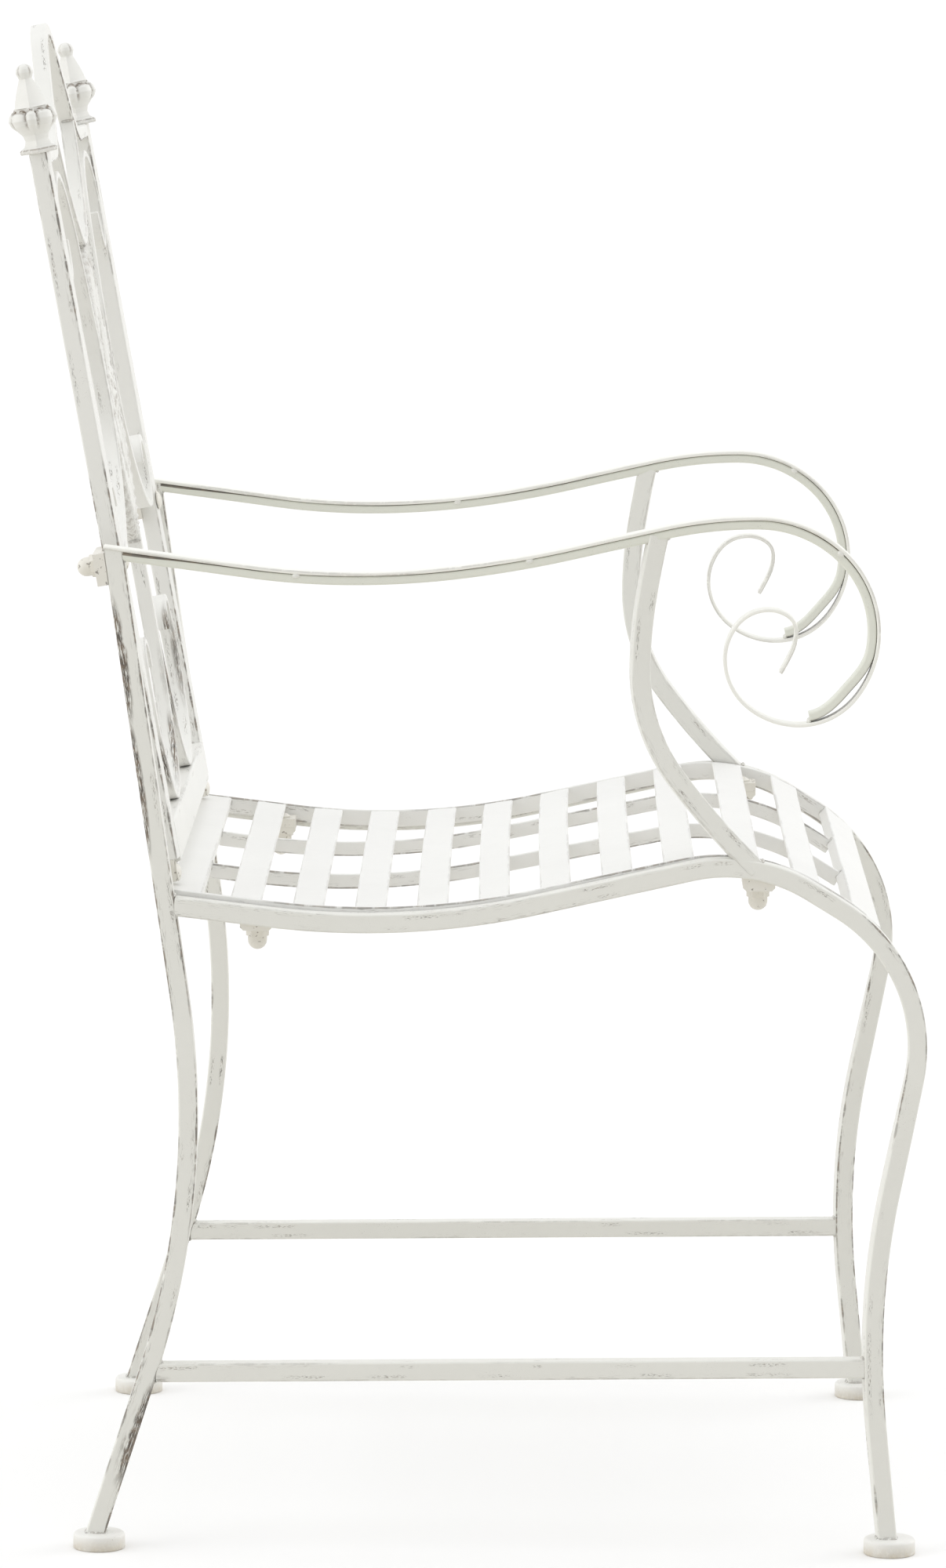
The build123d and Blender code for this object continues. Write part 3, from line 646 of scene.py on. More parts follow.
# Lines of the seat
seat = bent(
    [
        (leg_at(RAIL_REAR_Z), RAIL_REAR_Z + SEAT_LIFT),
        (DIP[0], DIP[1] + SEAT_LIFT),
        (CREST[0], CREST[1] + SEAT_CREST_LIFT),
        KNEE,
        ANKLE,
    ],
    [DIP_RADIUS, SEAT_CREST_RADIUS, KNEE_RADIUS],
)
long_bar = bent(
    [(leg_at(RAIL_REAR_Z), LONG_BAR_REAR_Z), LONG_BAR_DIP, LONG_BAR_CREST, LONG_BAR_FRONT],
    [LONG_BAR_DIP_RADIUS, LONG_BAR_CREST_RADIUS],
)
rail_inner = FRAME_HALF - BAR / 2
side_bar_x = rail_inner - SEAT_CLEAR - SIDE_BAR_THICK / 2
slat_half = side_bar_x - SIDE_BAR_THICK / 2
slat_top = SIDE_BAR_HIGH / 2 - SLAT_DROP
slat_low = slat_top - SLAT_THICK
long_bar_x = side_bar_x / 3
last_slat = SEAT_START + FIRST_SLAT + SLAT_PITCH * (SLAT_COUNT - 1)
rear_bar_place = SEAT_START + REAR_BAR_WIDTH / 2
front_bar_place = last_slat + FRONT_BAR_GAP + FRONT_BAR_WIDTH / 2

# Lines of the back panel
base_y = leg_at(PANEL_BASE_Z) - POST_FORE
lean = atan2(leg_at(PANEL_BASE_Z + BACK_BOLT_UP) + POST_AFT - base_y, BACK_BOLT_UP)
panel_normal = Vector((0, -cos(lean), sin(lean)))
post_half = FRAME_HALF - POST_INSET
post_inner = post_half - POST / 2
half_thick = SCROLL_THICK / 2
medallion_top = NECK_LEVEL - half_thick + WELD_BITE
side_touch = post_inner - half_thick + WELD_BITE


def from_post(spot):
    return (post_inner - spot[0], spot[1])


def from_medallion(spot):
    return (MEDALLION_HALF_WIDE + spot[0], spot[1])


back_scroll = curled(
    [
        (from_post(UPPER_TIP), 270),
        (from_post(UPPER_BASE), 0),
        ((side_touch, UPPER_SIDE), 90),
        (from_post(UPPER_TOP), 180),
        (from_medallion(UPPER_FLANK), UPPER_FLANK_ANGLE),
        ((MEDALLION_HALF_WIDE + half_thick - WELD_BITE, SCROLL_WAIST), 270),
        (from_medallion(LOWER_FLANK), LOWER_FLANK_ANGLE),
        (from_post(LOWER_BASE), 0),
        ((side_touch, LOWER_SIDE), 90),
        (from_post(LOWER_TOP), 180),
        (from_post(LOWER_TIP), 270),
    ]
)
crest_rail = bent(
    [
        (-post_inner, CREST_LEVEL),
        (-CREST_SHOULDER, CREST_LEVEL),
        (0, CREST_APEX),
        (CREST_SHOULDER, CREST_LEVEL),
        (post_inner, CREST_LEVEL),
    ],
    [CREST_SHOULDER_RADIUS, CREST_APEX_RADIUS, CREST_SHOULDER_RADIUS],
)
neck = curled(
    [
        (meet(crest_rail[4:], 0, NECK_FOOT)[0], NECK_FOOT_ANGLE),
        (NECK_BEND, NECK_BEND_ANGLE),
        ((0, NECK_LEVEL), 180),
    ]
)
loop_touch = BOTTOM_RAIL_TOP + half_thick - WELD_BITE
loop = [(Vector((half_thick, MEDALLION_BOTTOM + SCROLL_THICK)), heading(270))] + curled(
    [
        ((half_thick, LOOP_TURN), 270),
        ((LOOP_LOW, loop_touch), 0),
        (LOOP_SIDE, 90),
        (LOOP_TOP, 180),
        (LOOP_TIP, 280),
    ]
)


# Places: from a flat point in millimetres to the chair in metres
def on_frame(x):
    """Place on an upright plane across the chair at x."""
    return lambda p: Vector((x, p[0], p[1])) * MM


def on_panel(hand=1, fore=0.0):
    """Place on the back panel, mirrored for the right hand, and moved out to the front."""
    origin = Vector((0, base_y, PANEL_BASE_Z)) + panel_normal * fore
    up = Vector((0, sin(lean), cos(lean)))
    return lambda p: (origin + Vector((hand * p[0], 0, 0)) + up * p[1]) * MM


ACROSS = Vector((1, 0, 0))


# Objects
def link(name, data):
    thing = bpy.data.objects.new(name, data)
    bpy.context.scene.collection.objects.link(thing)
    return thing


def path_curve(name, chains):
    """Curve object with one Bezier spline for each chain, given as (knots, place)."""
    data = bpy.data.curves.new(name, "CURVE")
    data.dimensions = "3D"
    data.resolution_u = 24
    for knots, place in chains:
        spline = data.splines.new("BEZIER")
        spline.bezier_points.add(len(knots) - 1)
        grips = [0.0]
        for first, second in zip(knots, knots[1:]):
            turn = abs(turn_between(first[1], second[1]))
            chord = (second[0] - first[0]).length
            grips.append(chord / 3 if turn < 1e-6 else chord * 2 / 3 * tan(turn / 4) / sin(turn / 2))
        grips.append(0.0)
        for index, (spot, way) in enumerate(knots):
            knot = spline.bezier_points[index]
            knot.handle_left_type = knot.handle_right_type = "FREE"
            knot.co = place(spot)
            knot.handle_left = place(spot - way * grips[index])
            knot.handle_right = place(spot + way * grips[index + 1])
    return link(name, data)


def grown(name, chains, kind, values):
    """Plain mesh object that a geometry tree makes along chains of knots, with its inputs set by identifier."""
    source = path_curve(name + "_path", chains)
    tree = bpy.data.node_groups.get(kind) or TREES[kind]()
    modifier = source.modifiers.new(tree.name, "NODES")
    modifier.node_group = tree
    for item in tree.interface.items_tree:
        if item.in_out == "INPUT" and item.name in values:
            modifier[item.identifier] = values[item.name]
    graph = bpy.context.evaluated_depsgraph_get()
    mesh = bpy.data.meshes.new_from_object(source.evaluated_get(graph))
    mesh.name = name
    bpy.data.objects.remove(source)
    return link(name, mesh)


def settle(piece, nodes):
    """The piece rides on the chair and stands for CAD nodes."""
    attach(piece, BODY)
    if nodes:
        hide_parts(*nodes)


def remade(mesh, work, limit=None):
    """Run steps on a mesh as a bmesh, then smooth it between edges under a limit in degrees."""
    form = bmesh.new()
    form.from_mesh(mesh)
    work(form)
    if limit:
        for face in form.faces:
            face.smooth = True
        for edge in form.edges:
            edge.smooth = edge.calc_face_angle(0.0) < radians(limit)
    form.to_mesh(mesh)
    form.free()


def ring_piece(name, rings, shade, slot, node, finish="cast"):
    """Closed piece through rings of points, each joined to the next, with a mark on each point: for hollows, and on the
    feet for a band along their bottom rim.
    """
    mesh = bpy.data.meshes.new(name)
    around = len(rings[0])
    faces = []
    for low in range(0, around * (len(rings) - 1), around):
        for j in range(around):
            k = (j + 1) % around
            faces.append((low + j, low + k, low + around + k, low + around + j))
    faces.append(tuple(range(around - 1, -1, -1)))
    faces.append(tuple(range((len(rings) - 1) * around, len(rings) * around)))
    mesh.from_pydata([spot for ring in rings for spot in ring], [], faces)
    mesh.attributes.new("hollow", "FLOAT", "POINT").data.foreach_set("value", shade)

    def close(form):
        bmesh.ops.remove_doubles(form, verts=form.verts, dist=CAST_MERGE * MM)
        bmesh.ops.dissolve_degenerate(form, edges=form.edges, dist=CAST_MERGE / 2 * MM)
        bmesh.ops.recalc_face_normals(form, faces=form.faces)

    remade(mesh, close, CAST_SHARP)
    mesh.materials.append(paint(slot, finish))
    settle(link(name, mesh), [node])


def soften(piece, width):
    """Round off cut ends and keep the flats flat in the shading."""
    bevel = piece.modifiers.new("Cut ends", "BEVEL")
    bevel.width = width
    bevel.segments = 2
    bevel.limit_method = "ANGLE"
    bevel.angle_limit = radians(CUT_SHARP)
    piece.modifiers.new("Flat faces", "WEIGHTED_NORMAL").keep_sharp = True


# Nodes
class Net:
    """Node tree being built, for geometry or for a material."""

    def __init__(self, tree):
        self.tree = tree

    def feed(self, node, inputs):
        """Put values or links on the inputs of a node."""
        for key, value in dict(inputs).items():
            if isinstance(value, bpy.types.NodeSocket):
                self.tree.links.new(value, node.inputs[key])
            else:
                node.inputs[key].default_value = value
        return node.outputs

    def add(self, kind, inputs=(), **settings):
        """Outputs of a new node."""
        node = self.tree.nodes.new(kind)
        for key, value in settings.items():
            setattr(node, key, value)
        return self.feed(node, inputs)

    def one(self, kind, inputs=(), **settings):
        """First output of a new node."""
        return self.add(kind, inputs, **settings)[0]

    def math(self, operation, *values):
        return self.one("ShaderNodeMath", dict(enumerate(values)), operation=operation)

    def times(self, value, *factors):
        for factor in factors:
            value = self.math("MULTIPLY", value, factor)
        return value

    def most(self, value, *others):
        for other in others:
            value = self.math("MAXIMUM", value, other)
        return value

    def vector(self, operation, *values):
        outputs = self.add("ShaderNodeVectorMath", dict(enumerate(values)), operation=operation)
        return outputs["Value" if operation in ("DOT_PRODUCT", "LENGTH") else "Vector"]

    def scaled(self, vector, factor):
        return self.one("ShaderNodeVectorMath", {0: vector, "Scale": factor}, operation="SCALE")

    def xyz(self, *values):
        return self.one("ShaderNodeCombineXYZ", dict(enumerate(values)))

    def parts(self, vector):
        return self.add("ShaderNodeSeparateXYZ", {0: vector})

    def ramp(self, value, low, high, bottom=0.0, top=1.0):
        """Smooth step of a value from low to high."""
        inputs = dict(enumerate((value, low, high, bottom, top)))
        return self.one("ShaderNodeMapRange", inputs, interpolation_type="SMOOTHSTEP")

    def noise(self, place, scale, detail=2.0, rough=0.5):
        inputs = {"Vector": place, "Scale": scale, "Detail": detail, "Roughness": rough}
        return self.one("ShaderNodeTexNoise", inputs)

    def patches(self, place, kind):
        """Smooth mask of the places where a noise of the MASKS is high."""
        scale, detail, rough, low, high = MASKS[kind]
        return self.ramp(self.noise(place, scale, detail, rough), low, high)

    def mix(self, factor, *colours):
        inputs = {0: factor}
        for key, value in zip((6, 7), colours):
            inputs[key] = value if isinstance(value, bpy.types.NodeSocket) else (*value, 1.0)
        return self.add("ShaderNodeMix", inputs, data_type="RGBA", blend_type="MIX")[2]

    def attribute(self, name, output="Fac"):
        return self.add("ShaderNodeAttribute", attribute_name=name)[output]

    def store(self, geometry, name, value, kind="FLOAT_VECTOR"):
        """The geometry with a value kept on its points."""
        inputs = {"Geometry": geometry, "Name": name, "Value": value}
        return self.one("GeometryNodeStoreNamedAttribute", inputs, data_type=kind, domain="POINT")

    def here(self):
        return self.one("GeometryNodeInputPosition")

    def moved(self, geometry, **to):
        return self.one("GeometryNodeSetPosition", {"Geometry": geometry, **to})

    def spaced(self, curve, step):
        return self.one("GeometryNodeResampleCurve", {"Curve": curve, "Length": step}, mode="LENGTH")

    def flat(self, curve, normal):
        return self.one("GeometryNodeSetCurveNormal", {"Curve": curve, "Normal": normal}, mode="FREE")

    def ring(self, points, radius):
        inputs = {"Resolution": points, "Radius": radius}
        return self.one("GeometryNodeCurvePrimitiveCircle", inputs, mode="RADIUS")


# Geometry trees
BAR_INPUTS = ("Across", "Thick", "Corner", "Step", "Seed")


def open_tree(name, floats, **others):
    """Geometry tree with a geometry way through and named inputs: numbers, then other kinds, then a material."""
    tree = bpy.data.node_groups.new(name, "GeometryNodeTree")
    tree.interface.new_socket("Geometry", in_out="OUTPUT", socket_type="NodeSocketGeometry")
    kinds = {"Geometry": ("Geometry",), "Float": floats, **others, "Material": ("Material",)}
    for kind, labels in kinds.items():
        for label in labels:
            tree.interface.new_socket(label, in_out="INPUT", socket_type="NodeSocket" + kind)
    return Net(tree), tree.nodes.new("NodeGroupInput").outputs


def close_tree(net, geometry, given):
    """Smooth the mesh between soft edges, realize it and give it its material."""
    angle = net.one("GeometryNodeInputMeshEdgeAngle")
    limits = {0: angle, 1: radians(BAR_SHARP)}
    soft = net.one("FunctionNodeCompare", limits, data_type="FLOAT", operation="LESS_THAN")
    smooth = net.one("GeometryNodeSetShadeSmooth", {0: geometry, "Shade Smooth": soft}, domain="EDGE")
    real = net.one("GeometryNodeRealizeInstances", {0: smooth})
    painted = net.one("GeometryNodeSetMaterial", {0: real, "Material": given["Material"]})
    net.tree.links.new(painted, net.tree.nodes.new("NodeGroupOutput").inputs[0])
    return net.tree


def section_nodes(net, given):
    """Rectangle with round corners, as a curve that keeps its own flat place, and its half size."""
    even = net.one(
        "GeometryNodeTransform",
        {"Geometry": net.ring(SECTION_POINTS, 1.0), "Rotation": (0.0, 0.0, pi / SECTION_POINTS)},
    )
    half = net.scaled(net.xyz(given["Across"], given["Thick"]), 0.5)
    inset = net.xyz(given["Corner"], given["Corner"])
    spot = net.here()
    flat = net.vector("MULTIPLY", net.vector("SIGN", spot), net.vector("SUBTRACT", half, inset))
    shaped = net.moved(even, Position=net.vector("MULTIPLY_ADD", spot, inset, flat))
    return net.store(shaped, "section", net.here()), half


def sweep_nodes(net, path, given):
    """Sweep the section along a path; the mesh knows its length, its half size and a seed."""
    section, half = section_nodes(net, given)
    measured = net.store(path, "along", net.add("GeometryNodeSplineParameter")["Length"], "FLOAT")
    inputs = {"Curve": measured, "Profile Curve": section, "Fill Caps": True}
    mesh = net.one("GeometryNodeCurveToMesh", inputs)
    sizes = net.parts(half)
    return net.store(mesh, "half_size", net.xyz(sizes[0], sizes[1], given["Seed"]))


def bar_tree():
    """Bar with rounded corners along a flat path, with a twist that comes in along it."""
    net, given = open_tree("Swept bar", BAR_INPUTS + ("Twist", "Twist from", "Twist to"), Vector=("Flat to",))
    flat = net.flat(net.spaced(given["Geometry"], given["Step"]), given["Flat to"])
    share = net.add("GeometryNodeSplineParameter")["Factor"]
    tilt = net.ramp(share, given["Twist from"], given["Twist to"], 0.0, given["Twist"])
    turned = net.one("GeometryNodeSetCurveTilt", {"Curve": flat, "Tilt": tilt})
    return close_tree(net, sweep_nodes(net, turned, given), given)


def slat_tree():
    """Row of slats across the seat, at even places along its line, arched over an inner line."""
    net, given = open_tree(
        "Slat row",
        BAR_INPUTS + ("Half length", "First", "Pitch", "Lift", "Inner lift", "Arch"),
        Int=("Count",),
        Object=("Inner line",),
    )
    half = given["Half length"]
    ends = {"Start": net.xyz(0.0, 0.0, net.times(half, -1.0)), "End": net.xyz(0.0, 0.0, half)}
    line = net.spaced(net.one("GeometryNodeCurvePrimitiveLine", ends), given["Step"])
    slat = sweep_nodes(net, net.flat(line, ACROSS), given)
    number = net.one("GeometryNodeInputIndex")
    run = net.math("MULTIPLY_ADD", number, given["Pitch"], given["First"])
    sample = {"Curves": given["Geometry"], "Length": run}
    spot = net.add("GeometryNodeSampleCurve", sample, mode="LENGTH", use_all_curves=True)
    place, way = spot["Position"], spot["Tangent"]
    up = net.vector("CROSS_PRODUCT", way, ACROSS)
    axes = {0: net.scaled(way, -1.0), 1: up}
    turn = net.one("FunctionNodeAxesToRotation", axes, primary_axis="X", secondary_axis="Y")
    inner = net.add("GeometryNodeObjectInfo", {"Object": given["Inner line"]})["Geometry"]
    search = {"Geometry": net.one("GeometryNodeCurveToMesh", {"Curve": inner}), "Sample Position": place}
    nearest = net.add("GeometryNodeProximity", search, target_element="EDGES")["Position"]
    over = net.vector("DOT_PRODUCT", net.vector("SUBTRACT", nearest, place), up)
    crown = net.times(net.math("ADD", over, given["Inner lift"]), given["Arch"])
    row = net.one("GeometryNodePoints", {"Count": given["Count"]})
    row = net.store(row, "bow", net.scaled(up, crown))
    row = net.moved(row, Position=net.vector("ADD", place, net.scaled(up, given["Lift"])))
    slats = net.one("GeometryNodeInstanceOnPoints", {"Points": row, "Instance": slat, "Rotation": turn})
    real = net.one("GeometryNodeRealizeInstances", {0: slats})
    share = net.math("DIVIDE", net.parts(net.here())[0], half)
    middle = net.math("SUBTRACT", 1.0, net.times(share, share))
    bow = net.one("GeometryNodeInputNamedAttribute", {"Name": "bow"}, data_type="FLOAT_VECTOR")
    return close_tree(net, net.moved(real, Offset=net.scaled(bow, middle)), given)


def bead_tree():
    """Weld bead along a path: a lumpy round section that thins out at its ends."""
    net, given = open_tree("Weld bead", ("Radius", "Step", "Lumps", "Stain"))
    share = net.add("GeometryNodeSplineParameter")["Factor"]
    swell = net.math("POWER", net.math("SINE", net.times(share, pi)), BEAD_FULLNESS)
    thick = net.math("MAXIMUM", swell, BEAD_TIP)
    even = net.spaced(given["Geometry"], given["Step"])
    inputs = {
        "Curve": net.one("GeometryNodeSetCurveRadius", {"Curve": even, "Radius": thick}),
        "Profile Curve": net.ring(BEAD_POINTS, given["Radius"]),
        "Scale": thick,
        "Fill Caps": True,
    }
    mesh = net.one("GeometryNodeCurveToMesh", inputs)
    rough = net.one("ShaderNodeTexNoise", {"Scale": BEAD_LUMPS, "Detail": 1.0})
    lump = net.times(net.math("SUBTRACT", rough, 0.5), given["Lumps"])
    lumpy = net.moved(mesh, Offset=net.scaled(net.one("GeometryNodeInputNormal"), lump))
    return close_tree(net, net.store(lumpy, "hollow", given["Stain"], "FLOAT"), given)


TREES = {"Swept bar": bar_tree, "Slat row": slat_tree, "Weld bead": bead_tree}


def swept(
    name, knots, place, size, corner, flat_to, slot, nodes, seed, finish="bar", cut=None, twist=0.0, eased=(-2, -1)
):
    """Bar of one section along a chain of knots, as a piece that stands for CAD nodes.

    A cut is a place and a way out: what lies beyond it goes, and the cut is closed. A twist in degrees comes in
    between the two shares of the length in eased.
    """
    sizes = bpy.context.scene.armchair_sizes
    values = {
        "Across": size[0] * MM,
        "Thick": size[1] * MM,
        "Corner": corner,
        "Step": sizes.step,
        "Flat to": flat_to,
        "Twist": radians(twist),
        "Twist from": eased[0],
        "Twist to": eased[1],
        "Seed": seed,
        "Material": paint(slot, finish),
    }
    piece = grown(name, [(knots, place)], "Swept bar", values)

    def cut_off(form):
        whole = form.verts[:] + form.edges[:] + form.faces[:]
        bmesh.ops.bisect_plane(form, geom=whole, plane_co=cut[0], plane_no=cut[1], clear_outer=True)
        bmesh.ops.holes_fill(form, edges=[edge for edge in form.edges if edge.is_boundary])

    if cut:
        remade(piece.data, cut_off)
    soften(piece, sizes.end_round)
    settle(piece, nodes)


# Paint
def paint(slot, finish="bar"):
    """Worn pale paint. Bars lose it in lines along their corners, cast pieces in their hollows."""
    name = f"{slot}_{finish}"
    found = bpy.data.materials.get(name)
    if found:
        return found
    look = bpy.context.scene.armchair_paint
    material = bpy.data.materials.new(name)
    material.use_nodes = True
    net = Net(material.node_tree)
    spot = net.add("ShaderNodeTexCoord")["Object"]
    tone = net.noise(spot, TONE_SCALE, 3.0)
    brush = net.noise(spot, BRUSH_SCALE, 3.0)
    grain = net.noise(spot, GRAIN_SCALE)
    # The strip finish paints the arm strip lighter as a painted highlight; the seam finish paints the arm bar darker as
    # painted shade
    pale = Vector(getattr(look, slot)) * Vector(HIGHLIGHT_AND_SHADE_TINTS.get(finish, (1.0, 1.0, 1.0)))
    mottle = net.math("MULTIPLY_ADD", brush, BRUSH_SHARE, net.times(tone, 1 - BRUSH_SHARE))
    light = net.mix(mottle, pale * PALE_SPREAD[0], pale * PALE_SPREAD[1])
    if finish == "fitting":
        worn = net.times(net.patches(spot, "fitting_chip"), FITTING_WEAR)
    elif finish in ("cast", "bead", "foot"):
        hollow = net.attribute("hollow")
        worn = net.times(hollow, net.patches(spot, "fleck"))
    else:
        worn = edge_wear(net, spot, finish)
    # Feet: a yellowish, darker band along the bottom rim, where their mark lies
    if finish == "foot":
        low_rim_tint = net.times(hollow, net.ramp(brush, *LOW_RIM_RAMP))
        light = net.mix(low_rim_tint, light, look.low_rim_tint)
        worn = net.times(worn, FOOT_WEAR)
    dots = net.times(net.ramp(grain, *DOT_LEVELS), net.patches(spot, "dot_field"), DOT_WEAR)
    amount = look.seat_wear if slot == "seat_paint" else look.wear
    wear = net.math("MINIMUM", net.times(net.most(dots, worn), amount), 1.0)
    brown = net.ramp(brush, *(CAST_BROWN if finish == "cast" else BROWN))
    lift = net.math("MULTIPLY_ADD", grain, GRAIN_LIFT, net.times(brush, BRUSH_LIFT))
    relief = net.math("SUBTRACT", lift, net.times(wear, WEAR_DROP))
    bump = net.one("ShaderNodeBump", {"Height": relief, "Strength": BUMP, "Distance": PAINT_THICK * MM})
    surface = {
        "Base Color": net.mix(wear, light, net.mix(brown, look.bare, look.rust)),
        "Roughness": net.ramp(wear, 0.0, 1.0, *ROUGHNESS),
        "Normal": bump,
    }
    net.feed(net.tree.nodes["Principled BSDF"], surface)
    return material


def rubbed_places(net, spot):
    """Soft mask of the ovals that are rubbed hard."""
    masks = []
    for middle, half, lean in RUBBED:
        oval = {
            "Vector": spot,
            "Location": Vector(middle) * MM,
            "Rotation": (radians(-lean), 0.0, 0.0),
            "Scale": Vector(half) * MM,
        }
        place = net.one("ShaderNodeMapping", oval, vector_type="TEXTURE")
        masks.append(net.ramp(net.vector("LENGTH", place), 0.6, 1.0, 1.0, 0.0))
    return net.most(*masks)


def edge_wear(net, spot, finish):
    """Mask of worn paint on a swept bar: broken lines on its corners, fine strokes, chips and rubbed places; on the arm
    bar, a dark band along its corner under the strip instead.
    """
    section = net.attribute("section", "Vector")
    half = net.attribute("half_size", "Vector")
    along = net.attribute("along")
    across = net.parts(section)
    hands = net.parts(net.vector("SIGN", section))
    sizes = net.parts(half)
    gaps = net.parts(net.vector("SUBTRACT", half, net.vector("ABSOLUTE", section)))
    distance = net.math("ADD", gaps[0], gaps[1])
    length = net.math("ADD", along, sizes[2])
    lane = net.xyz(length, net.math("MULTIPLY_ADD", hands[1], LANE_APART, hands[0]))

    def drawn_out(share):
        """Place whose noise is drawn out along the bar."""
        return net.xyz(net.times(length, share), across[0], across[1])

    def fading(value, low, high, most=1.0):
        """Mask that is full below a low value and gone above a high one, in millimetres."""
        return net.ramp(value, low * MM, high * MM, most, 0.0)

    def ragged(scale, reach, low, high):
        """Band along the corners with a ragged edge."""
        edge = net.times(net.noise(lane, scale, 3.0), reach * MM)
        return fading(net.math("SUBTRACT", distance, edge), low, high)

    # Arm bar: a dark band along the corner under the strip, deeper near its rear end
    if finish == "seam":
        wedge = net.ramp(along, *(value * MM for value in SEAM_WEDGE))
        deep = net.math("MULTIPLY_ADD", net.noise(lane, SEAM_SCALE, 3.0), SEAM_DEEP * MM, wedge)
        under_strip = net.math("SUBTRACT", sizes[1], across[1])
        return fading(net.math("SUBTRACT", under_strip, deep), *SEAM_EDGE)
    lines = net.times(ragged(*LINE_BAND), net.patches(lane, "line_broken"), net.patches(lane, "line_field"))
    if finish in ("flat", "strip"):
        return net.times(lines, FLAT_WEAR)
    streak = drawn_out(STREAK)
    close = fading(distance, *STROKE_BAND)
    strokes = net.times(net.patches(streak, "stroke"), close, net.patches(lane, "stroke_field"))
    rubbed = net.times(ragged(*RUBBED_BAND), net.patches(streak, "rubbed"), rubbed_places(net, spot))
    beside_corner = net.math("ABSOLUTE", net.math("SUBTRACT", distance, CHIPS_FROM_CORNER * MM))
    chips = net.patches(drawn_out(CHIP_STREAK), "chips")
    chips = net.times(fading(beside_corner, *CHIP_BAND), net.patches(lane, "chip_field"), chips)
    line_level, stroke_level = CALM_WEAR if finish == "calm" else BAR_WEAR
    if finish == "rail":
        line_level = net.ramp(along, RAIL_CALM[0] * MM, RAIL_CALM[1] * MM, *RAIL_WEAR)
    worn = net.most(net.times(lines, line_level), net.times(strokes, stroke_level))
    return net.most(worn, net.times(chips, CHIP_WEAR), rubbed)


# Pieces
class ARMCHAIR_OT_side_frames(bpy.types.Operator):
    """Build the legs, stretchers and arm supports of both side frames"""

    bl_idname = "armchair.side_frames"
    bl_label = "Side frames"

    def execute(self, context):
        sizes = context.scene.armchair_sizes
        rear, front = ([meet(line, 1, FOOT_HIGH - RUN_IN)] + line[1:] for line in (rear_leg, front_leg))
        up = -left_of(arm_way)
        strip_low = arm_rear - up * (STRIP_THICK / 2 - WELD_BITE)
        top = (on_frame(0)(strip_low), (0, *up))
        for side, hand in SIDES:
            support_turn = sizes.twist * SUPPORT_TURNS[side]
            bars = {
                "rear_leg": (rear, BAR, "bar", {"cut": top}),
                "front_leg": (front, BAR - TUCK, "rail", {"twist": sizes.twist, "eased": LEG_TURN_SPAN}),
                "stretcher": (stretcher, BAR - 2 * TUCK, "calm", {}),
                "arm_support": (support, BAR - 3 * TUCK, "calm", {"twist": support_turn}),
            }
            place = on_frame(hand * FRAME_HALF)
            for name, (knots, wide, finish, more) in bars.items():
                node = f"{side}_{name}"
                seed = SEEDS[name] + hand * HAND_SEED
                size = (wide, BAR)
                swept(
                    node + "_bar", knots, place, size, sizes.corner, ACROSS, "frame_paint", [node], seed, finish, **more
                )
        return {"FINISHED"}


class ARMCHAIR_OT_arms(bpy.types.Operator):
    """Build the arms: a thin strip rolled into a curl over a thicker bar, with a slit between them"""

    bl_idname = "armchair.arms"
    bl_label = "Arms"

    slit: plain_property("Slit", "Widest gap between bar and strip in the scroll, in millimetres", 4.2)

    def execute(self, context):
        sizes = context.scene.armchair_sizes
        bar = beside(arm_bar, (STRIP_THICK + ARM_BAR_THICK) / 2)
        whole = chain_length(bar)
        end = []
        for back, lift in ((SLIT_START, 0.0), (SLIT_WIDEST, self.slit), (0.0, self.slit * SLIT_END)):
            spot, way = at_length(bar, whole - back)
            end.append((spot + left_of(way) * lift, way))
        bar = stretch(bar, 0, whole - SLIT_START)[:-1] + end
        strip = [(arm_end, arm_way)] + arm[1:] + curl[1:]
        # The strip finish is a painted highlight on the arm strip; the seam finish is painted shade on the arm bar
        layers = {
            "arm_strip": (strip, (STRIP_WIDE, STRIP_THICK), sizes.strip_corner, "strip"),
            "arm_bar": (bar, (BAR - 2 * TUCK, ARM_BAR_THICK), sizes.arm_round, "seam"),
        }
        for side, hand in SIDES:
            place = on_frame(hand * FRAME_HALF)
            for name, (knots, size, corner, finish) in layers.items():
                node = f"{side}_{name}"
                seed = SEEDS[name] + hand * HAND_SEED
                swept(node + "_rolled", knots, place, size, corner, ACROSS, "frame_paint", [node], seed, finish)
        return {"FINISHED"}


